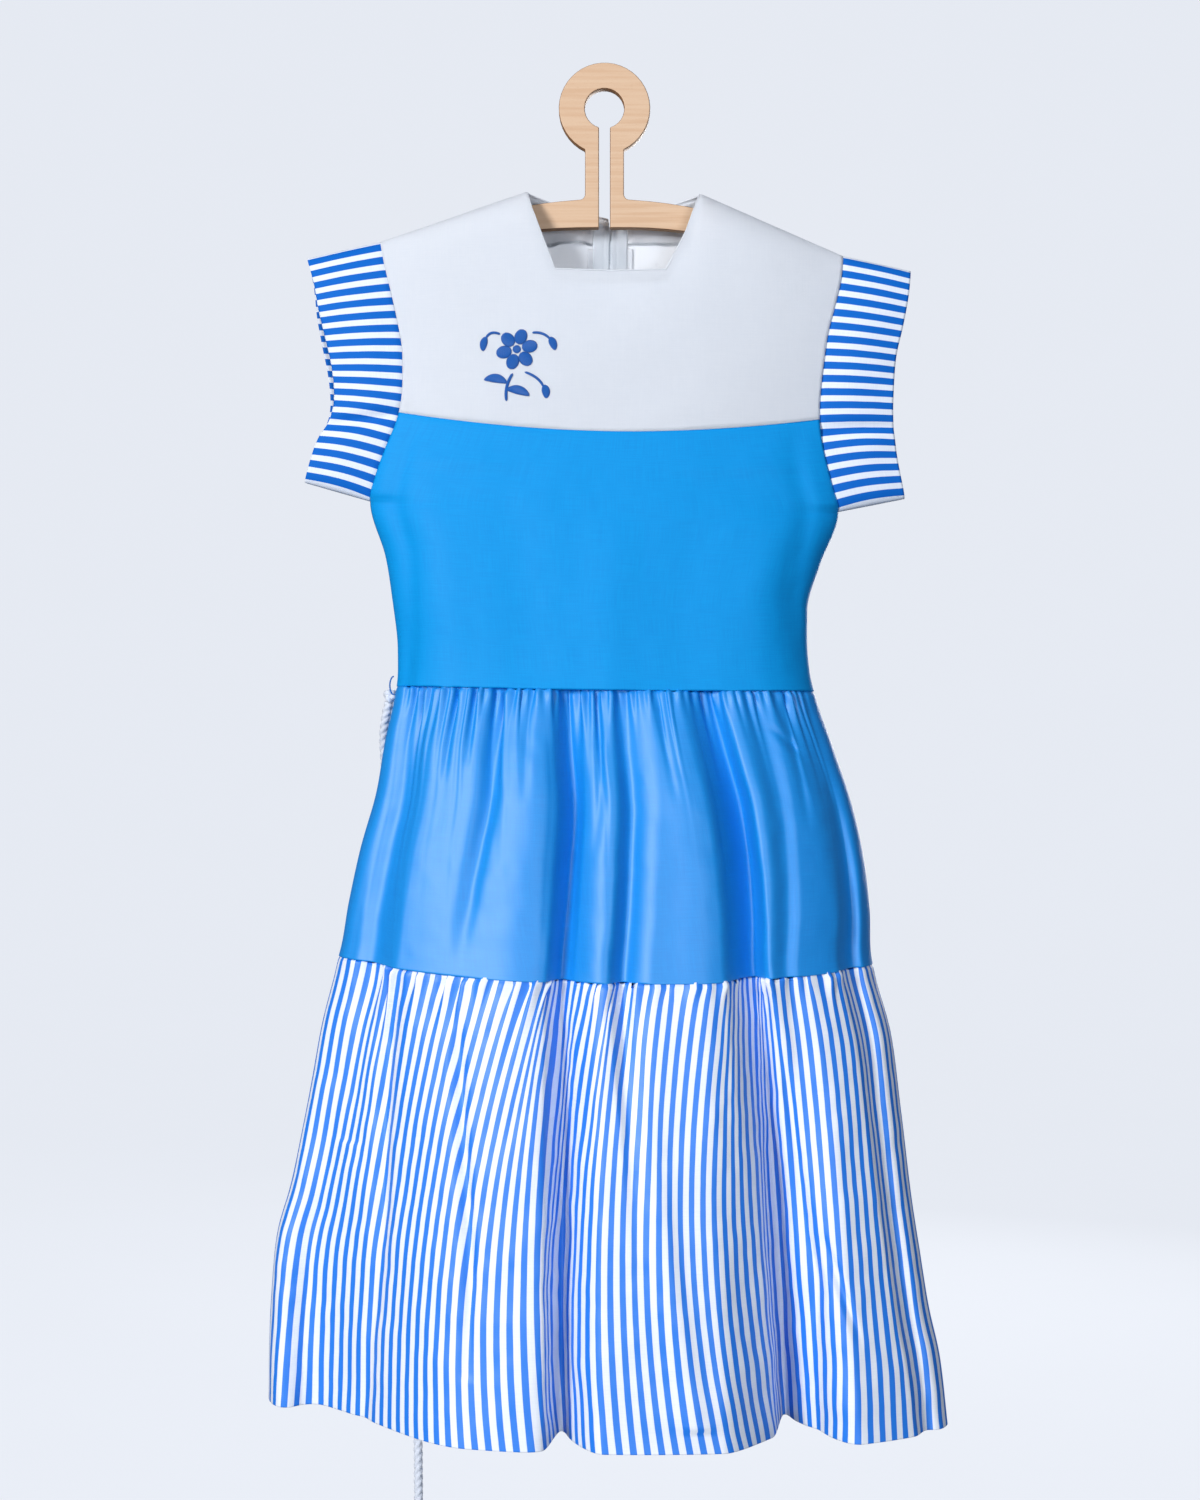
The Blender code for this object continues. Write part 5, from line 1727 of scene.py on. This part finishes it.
@dataclass
class NeckInside:
    """What shows inside the neck: the back facing, the zip's tapes and seam edges, and its coil."""

    tape_width: float = 0.0130
    tape_half_gap: float = 0.0008
    tape_top: float = -0.1015
    tape_depth: float = 0.0015
    tape_length: float = 0.475
    stitch_place: float = 0.0052
    stitch_width: float = 0.0006
    stitch_depth: float = 0.0004
    allowance: float = 0.0042
    allowance_top: float = -0.1205
    allowance_curl: float = 0.0012
    coil_top: float = -0.1160
    rung: float = 0.00125
    rung_width: float = 0.0032
    rung_depth: float = 0.0011
    rung_share: float = 0.72
    facing_low: float = -0.1195
    facing_gap: float = 0.0016
    shoulder_columns: int = 44
    neck_columns: int = 10
    hidden_columns: int = 40
    overlock_pitch: float = 0.0011
    overlock_lift: float = 0.0005
    overlock_thread: float = 0.00028
    metal_edge: float = 0.00025

    def centre_line(self, count: int) -> list[tuple[float, float, float]]:
        """Points down the centre back, on the back's cloth, from the tape's top to the zip's end.

        Args:
            count: how many points.

        Returns:
            X, Y and Z of each point.
        """
        seam = float(FORM.seam_height(YOKE, 0.5))
        end = float(FORM.seam_height(FORM.zip_end, 0.5))
        levels = np.linspace(YOKE, FORM.zip_end, 240)
        heights = np.array([float(FORM.seam_height(level, 0.5)) for level in levels])
        middles = [FORM.body_line(level, False) for level in levels]
        places = [FORM.centre_back_x(level) for level in levels]
        depths = np.array([np.interp(x, line[:, 0], line[:, 1]) for x, line in zip(places, middles)])
        points = []
        for z in np.linspace(self.tape_top, end, count):
            if z > seam:
                level = YOKE * (FORM.back_neck_z - z) / (FORM.back_neck_z - seam)
                y = FORM.back_surface(FORM.centre_back_x(level), z)
            else:
                level = float(np.interp(-z, -heights, levels))
                y = float(np.interp(-z, -heights, depths))
            points.append((FORM.centre_back_x(level), y, float(z)))
        return points

    def strip(
        self, line: Sequence[tuple], near: float, far: float, depth: float, columns: int
    ) -> tuple[np.ndarray, np.ndarray]:
        """A flat strip along the centre back, from one distance beside it to another.

        Args:
            line: points of the centre back.
            near: the first distance beside it.
            far: the last distance beside it.
            depth: how far inside the cloth it lies.
            columns: faces across it.

        Returns:
            The points and their UV coordinates.
        """
        out = np.linspace(near, far, columns + 1)
        grid = np.array([[(x + o, y - depth, z) for o in out] for x, y, z in line])
        return grid, np.stack(np.broadcast_arrays(out[None, :], grid[:, :1, 2]), axis=2)

    def build_tapes(self, wardrobe: Wardrobe) -> None:
        """Make both tapes and the seam edges beside them.

        Args:
            wardrobe: the finishes.
        """
        line = self.centre_line(180)
        for sign, name in ((-1, "left"), (1, "right")):
            near, far = sign * self.tape_half_gap, sign * (self.tape_half_gap + self.tape_width)
            grid, uv = self.strip(line, near, far, self.tape_depth, 14)
            beside = np.abs(grid[:, :, 0] - np.array(line)[:, :1])
            stitched = np.exp(-(((beside - self.stitch_place) / self.stitch_width) ** 2))
            grid[:, :, 1] += self.stitch_depth * stitched
            mesh = grid_mesh(f"zip_tape_{name}_cloth", grid, uv)
            tape = thicken(add_piece(mesh, wardrobe.tape, "zip tape", f"zip_tape_{name}"), 0.0005)
            lower = [point for point in line if point[2] < self.allowance_top]
            beyond = far + sign * self.allowance
            grid, uv = self.strip(lower, far - sign * 0.001, beyond, self.tape_depth - 0.0005, 4)
            grid[:, :, 1] -= self.allowance_curl * np.linspace(0, 1, 5)[None, :] ** 2
            edge = grid_mesh(f"seam_edge_{name}", grid, uv)
            seam = thicken(add_piece(edge, wardrobe.white, "white cotton"))

    def build_coil(self, wardrobe: Wardrobe) -> None:
        """Make the closed zip's coil, one rounded rung above another.

        Args:
            wardrobe: the finishes.
        """
        line = [point for point in self.centre_line(2000) if point[2] < self.coil_top]
        places = np.array(line)
        rungs = []
        for z in np.arange(places[0, 2], places[-1, 2], -self.rung):
            x = float(np.interp(-z, -places[:, 2], places[:, 0]))
            y = float(np.interp(-z, -places[:, 2], places[:, 1]))
            shape = bmesh.new()
            bmesh.ops.create_cube(shape, size=1.0)
            size = (self.rung_width, self.rung_depth, self.rung * self.rung_share)
            bmesh.ops.scale(shape, verts=shape.verts, vec=size)
            bmesh.ops.bevel(
                shape, geom=shape.edges, offset=0.00025, offset_type="OFFSET", affect="EDGES", segments=1,
                profile=0.5, material=-1,
            )
            bmesh.ops.translate(shape, verts=shape.verts, vec=(x, y - 0.0004, z))
            rungs.append(finish_mesh(shape, "rung"))
        add_piece(join_meshes("zip_coil", rungs), wardrobe.coil, "zip tape")

    def cut_level(self, grid: np.ndarray, count: int) -> np.ndarray:
        """Rows down a facing from its neck edge to its level lower edge.

        Args:
            grid: the facing's points.
            count: how many rows it gets.

        Returns:
            Rows by columns by three coordinates.
        """
        columns = []
        for column in np.swapaxes(grid, 0, 1):
            heights = np.linspace(column[0, 2], self.facing_low, count)
            marks = [np.interp(-heights, -column[:, 2], column[:, axis]) for axis in (0, 1)]
            columns.append(np.stack([*marks, heights], axis=1))
        return np.swapaxes(np.array(columns), 0, 1)

    def build_facings(self, wardrobe: Wardrobe) -> None:
        """Make both halves of the back neck facing with their overlocked lower edges.

        Args:
            wardrobe: the finishes.
        """
        rows = np.linspace(0.006, 0.26, 40)
        for left, name in ((True, "left"), (False, "right")):
            stations = FORM.back_stations(left, self.shoulder_columns, self.neck_columns)
            grid = FORM.yoke_grid(False, stations, rows)
            grid = grid - outward_normals(grid) * self.facing_gap
            grid = grid[:, self.hidden_columns:] if left else grid[:, :-self.hidden_columns]
            grid = self.cut_level(grid, 22)
            sign = -1 if left else 1
            limit = FORM.centre_back_x(SHOULDER) + sign * (self.tape_half_gap + self.tape_width + 0.0006)
            count = np.arange(grid.shape[1])[::-1] if left else np.arange(grid.shape[1])
            away = limit + sign * 0.0004 * count
            grid[:, :, 0] = np.minimum(grid[:, :, 0], away) if left else np.maximum(grid[:, :, 0], away)
            drop = np.linspace(0, 1, len(grid))[:, None] ** 2
            wave = np.sin(grid[:, :, 0] * (190 if left else 90)) + 0.5 * np.sin(grid[:, :, 0] * 330 + 1)
            inner = np.clip(count / 12, 0, 1)[None, :] * np.clip(count[::-1] / 12, 0, 1)[None, :]
            grid[:, :, 1] -= drop * inner * ((0.0026 if left else 0.0008) * (1.3 + wave))
            grid[:, :, 2] += drop * inner * (0.0016 if left else 0.0004) * wave
            mesh = grid_mesh(f"neck_facing_{name}_cloth", grid, grid[:, :, ::2])
            piece = thicken(add_piece(mesh, wardrobe.white, "white cotton", f"neck_facing_{name}"), 0.0005)
            self.overlock(wardrobe, f"facing_overlock_{name}", grid[-1], grid[-3])

    def overlock(self, wardrobe: Wardrobe, name: str, edge: np.ndarray, inner: np.ndarray) -> None:
        """Zigzag thread over a raw edge.

        Args:
            wardrobe: the finishes.
            name: the piece's name.
            edge: points along the edge.
            inner: points beside it on the cloth.
        """
        length = lengths_along(edge)
        count = int(length[-1] / self.overlock_pitch)
        path = []
        for number in range(count * 2):
            at = length[-1] * number / (count * 2 - 1)
            row = (edge, inner)[number % 2]
            point = [np.interp(at, length, row[:, axis]) for axis in range(3)]
            path.append(np.array(point) - np.array([0.0, self.overlock_lift, 0.0]))
        mesh = tube_mesh(name, np.array(path), self.overlock_thread, 5)
        add_piece(mesh, wardrobe.sewing, "white cotton")

    def build(self, wardrobe: Wardrobe, nodes: dict) -> None:
        """Make everything inside the neck, and the slider with its pull.

        Args:
            wardrobe: the finishes.
            nodes: the frame's nodes by name.
        """
        self.build_tapes(wardrobe)
        self.build_coil(wardrobe)
        self.build_facings(wardrobe)
        for node, name, body in (
            ("zip_slider", "zip_slider_body", BODY),
            ("zip_pull", "zip_pull_tab", PULL_BODY),
        ):
            mesh = bevelled_copy(nodes[node], name, self.metal_edge)
            add_piece(mesh, wardrobe.enamel, "white enamelled metal", node, body=body)


@dataclass
class RopeBelt:
    """The twisted rope belt with its knots and the thread loop that it hangs in."""

    radius: float = 0.0038
    lay: float = 0.0200
    step: float = 0.0012
    sides: int = 30
    valley: float = 0.70
    length: float = 0.69
    loop_wire: float = 0.0006
    loop_reach: float = 0.0032
    loop_top: float = -0.4690
    loop_bottom: float = -0.4835
    loop_gap: float = 0.0025
    loop_marks: int = 61
    knot_scale: float = 0.00118
    knot_strand: float = 0.00255
    fray_strands: int = 13
    fray_wire: float = 0.0006
    fray_spread: float = 0.0007
    route: tuple[tuple[float, float, float], ...] = (
        (-0.1737, 0.0140, -0.4895),
        (-0.1777, 0.0215, -0.5050),
        (-0.1795, 0.0290, -0.5230),
        (-0.1780, 0.0385, -0.5550),
        (-0.1745, 0.0470, -0.6000),
        (-0.1715, 0.0560, -0.6600),
        (-0.1690, 0.0610, -0.7200),
        (-0.1665, 0.0640, -0.8000),
        (-0.1635, 0.0660, -0.8800),
        (-0.1605, 0.0675, -0.9600),
        (-0.1575, 0.0680, -1.0300),
        (-0.1552, 0.0680, -1.0900),
        (-0.1545, 0.0680, -1.1530),
    )

    def centre_line(self) -> np.ndarray:
        """Evenly spaced points on the rope's smooth middle line.

        Returns:
            The points in order.
        """
        route = np.array(self.route)
        chord = lengths_along(route)
        places = np.linspace(0, chord[-1], round(chord[-1] / self.step) + 1)
        return np.stack([smooth_track(chord, route[:, axis], places) for axis in range(3)], axis=1)

    def knot(self, name: str, node: str, wardrobe: Wardrobe) -> Object:
        """A pulled-tight overhand knot of the same rope.

        Args:
            name: the piece's name.
            node: the frame's node that it stands for.
            wardrobe: the finishes.

        Returns:
            The knot's object.
        """
        low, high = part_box(node)
        middle = np.array((low + high) / 2)
        turn = np.linspace(0, 2 * math.pi, 121)
        path = np.stack([
            np.sin(turn) + 2 * np.sin(2 * turn),
            -np.sin(3 * turn) * 1.3,
            np.cos(turn) - 2 * np.cos(2 * turn),
        ], axis=1) * self.knot_scale + middle
        points, uv = tube_grid(path, self.knot_strand, 14)
        return add_piece(grid_mesh(name, points, uv, weld=True), wardrobe.rope, "cotton rope", node)

    def build(self, wardrobe: Wardrobe) -> None:
        """Make the rope, its knots, its frayed end and the loop.

        Args:
            wardrobe: the finishes.
        """
        path = self.centre_line()
        angles = np.linspace(0, 2 * math.pi, self.sides + 1)
        along = np.arange(len(path)) * self.step
        turned = angles[None, :] - 2 * math.pi * along[:, None] / self.lay
        radius = self.radius * (self.valley + (1 - self.valley) * np.abs(np.cos(1.5 * turned)) ** 0.7)
        points, uv = tube_grid(path, radius, self.sides)
        mesh = grid_mesh("belt_rope_twisted", points, uv, weld=True)
        rope = add_piece(mesh, wardrobe.rope, "cotton rope", "belt_rope")
        top = self.knot("rope_knot_top_tied", "rope_knot_top", wardrobe)
        end = self.knot("rope_knot_end_tied", "rope_knot_end", wardrobe)
        low = np.array(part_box("rope_knot_end")[0])
        low[:2] = path[-1, :2]
        strands = []
        for number in range(self.fray_strands):
            angle = number * 2.4
            spread = self.fray_spread * math.sqrt(number)
            out = np.array([math.cos(angle), math.sin(angle), 0.0]) * spread
            drop = 0.0075 + 0.003 * uneven(number)
            shares = np.linspace(0, 1, 6)
            strand = [low + out * share + np.array([0.0, 0.0, 0.002 - drop * share]) for share in shares]
            strands.append(tube_mesh("strand", np.array(strand), self.fray_wire, 6))
        fray = add_piece(join_meshes("rope_end_frayed", strands), wardrobe.rope, "cotton rope")
        self.build_loop(wardrobe)

    def build_loop(self, wardrobe: Wardrobe) -> None:
        """Make the chain-stitched thread loop at the side of the waist.

        Args:
            wardrobe: the finishes.
        """
        side_x = float(read_table(FORM.sides, "left", WAIST)) - self.loop_gap
        side_y = float(read_table(FORM.depths, "left", WAIST))
        turn = np.radians(np.linspace(90, 270, self.loop_marks))
        middle, half = (self.loop_top + self.loop_bottom) / 2, (self.loop_top - self.loop_bottom) / 2
        loop = np.stack([
            side_x + self.loop_reach * np.cos(turn),
            np.full(len(turn), side_y),
            middle + half * np.sin(turn),
        ], axis=1)
        chain = self.loop_wire * (0.8 + 0.35 * np.abs(np.sin(np.arange(self.loop_marks) * 0.7)))
        mesh = tube_mesh("belt_loop_chain", loop, chain[:, None], 10)
        add_piece(mesh, wardrobe.loop, "azure cotton", "belt_loop")


@dataclass
class Hanger:
    """The flat plywood hanger with its edges sanded round."""

    edge: float = 0.0009

    def build(self, wardrobe: Wardrobe, nodes: dict) -> None:
        """Make the hanger.

        Args:
            wardrobe: the finishes.
            nodes: the frame's nodes by name.
        """
        mesh = bevelled_copy(nodes["hanger"], "hanger_board", self.edge, 3)
        add_piece(mesh, wardrobe.plywood, "beech plywood", "hanger")


@dataclass
class Studio:
    """Pale floor that curves up to a rim all round, soft lights and the camera."""

    floor: float = -1.34
    radius: float = 7.0
    curve: float = 4.0
    rim: float = 4.2
    steps: int = 96
    camera_place: tuple[float, float, float] = (-0.0036, -1.7, -0.528)
    lens: float = 51.0

    def build_floor(self) -> None:
        """Make the floor and its rising edge as one dish that throws no light back."""
        profile = [(0.0, self.floor), (self.radius - self.curve, self.floor)]
        for angle in np.radians(np.linspace(8, 90, 12)):
            profile.append((
                self.radius - self.curve + self.curve * math.sin(angle),
                self.floor + self.curve * (1 - math.cos(angle)),
            ))
        profile.append((self.radius, self.floor + self.rim))
        shape = bmesh.new()
        points = [shape.verts.new((x, 0.0, z)) for x, z in profile]
        edges = [shape.edges.new(pair) for pair in zip(points, points[1:])]
        bmesh.ops.spin(
            shape, geom=points + edges, cent=(0, 0, 0), axis=(0, 0, 1), angle=2 * math.pi, steps=self.steps,
            use_merge=True,
        )
        bmesh.ops.remove_doubles(shape, verts=shape.verts, dist=0.0001)
        bmesh.ops.recalc_face_normals(shape, faces=shape.faces)
        mesh = finish_mesh(shape, "studio_floor")
        mesh.shade_smooth()
        mesh.materials.append(PalePaint().material())
        floor = bpy.data.objects.new("studio_floor", mesh)
        bpy.context.scene.collection.objects.link(floor)
        floor.visible_diffuse = False
        floor.visible_glossy = False

    def light(
        self, name: str, place: Sequence[float], aim: Sequence[float], size: float, power: float, colour: str
    ) -> None:
        """Add one soft square light.

        Args:
            name: its name.
            place: where it stands.
            aim: the point that it faces.
            size: its side in metres.
            power: in watts.
            colour: sRGB hex.
        """
        lamp = bpy.data.lights.new(name, "AREA")
        lamp.shape = "SQUARE"
        lamp.size = size
        lamp.energy = power
        lamp.color = linear(colour)[:3]
        holder = bpy.data.objects.new(name, lamp)
        holder.location = place
        holder.rotation_euler = (Vector(aim) - Vector(place)).to_track_quat("-Z", "Y").to_euler()
        bpy.context.scene.collection.objects.link(holder)

    def build(self) -> None:
        """Make the floor, the lights, the sky and the camera."""
        self.build_floor()
        middle = (0.0, 0.0, -0.55)
        self.light("key", (-2.5, -3.4, 0.3), middle, 1.0, 160.0, "#f8faff")
        self.light("fill", (1.0, -3.5, -0.6), (0.0, 0.0, -0.9), 1.0, 40.0, "#eaf2ff")
        self.light("top", (0.2, -1.0, 1.2), (0.0, 0.0, -0.3), 0.6, 4.5, "#fbfbff")
        self.light("through", (0.7, 1.9, -0.1), (0.0, 0.0, -0.3), 1.2, 36.0, "#fffaf6")
        self.light("back", (0.0, 1.6, 2.6), (0.0, 6.5, 0.2), 3.0, 45.0, "#f4f8ff")
        world = bpy.data.worlds.new("sky")
        world.use_nodes = True
        sky = world.node_tree.nodes["Background"]
        sky.inputs["Color"].default_value = linear("#cfe0ff")
        sky.inputs["Strength"].default_value = 0.16
        scene = bpy.context.scene
        scene.world = world
        scene.view_settings.view_transform = "Standard"
        camera = bpy.data.cameras.new("camera")
        camera.lens = self.lens
        camera.sensor_width = 36.0
        holder = bpy.data.objects.new("camera", camera)
        holder.location = self.camera_place
        holder.rotation_euler = (math.pi / 2, 0.0, 0.0)
        scene.collection.objects.link(holder)
        scene.camera = holder


def main() -> None:
    """Build every part of the dress round its frame, in order."""
    logging.basicConfig(level=logging.INFO, format="%(message)s")
    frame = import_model()
    nodes = frame["nodes"]
    Studio().build()
    wardrobe = Wardrobe()
    RopeBelt().build(wardrobe)
    Hanger().build(wardrobe, nodes)
    Skirt().build(wardrobe)
    yoke = Yoke().build(wardrobe)
    FlowerSprig().build(wardrobe, yoke)
    for sleeve in (
        Sleeve("sleeve_left", True, -0.1355, -0.3140, 0.0065, 0.67, 0.75),
        Sleeve("sleeve_right", False, -0.1455, -0.3270, 0.0015, 0.70, 0.70),
    ):
        sleeve.build(wardrobe)
    NeckInside().build(wardrobe, nodes)


if __name__ == "__main__":
    main()
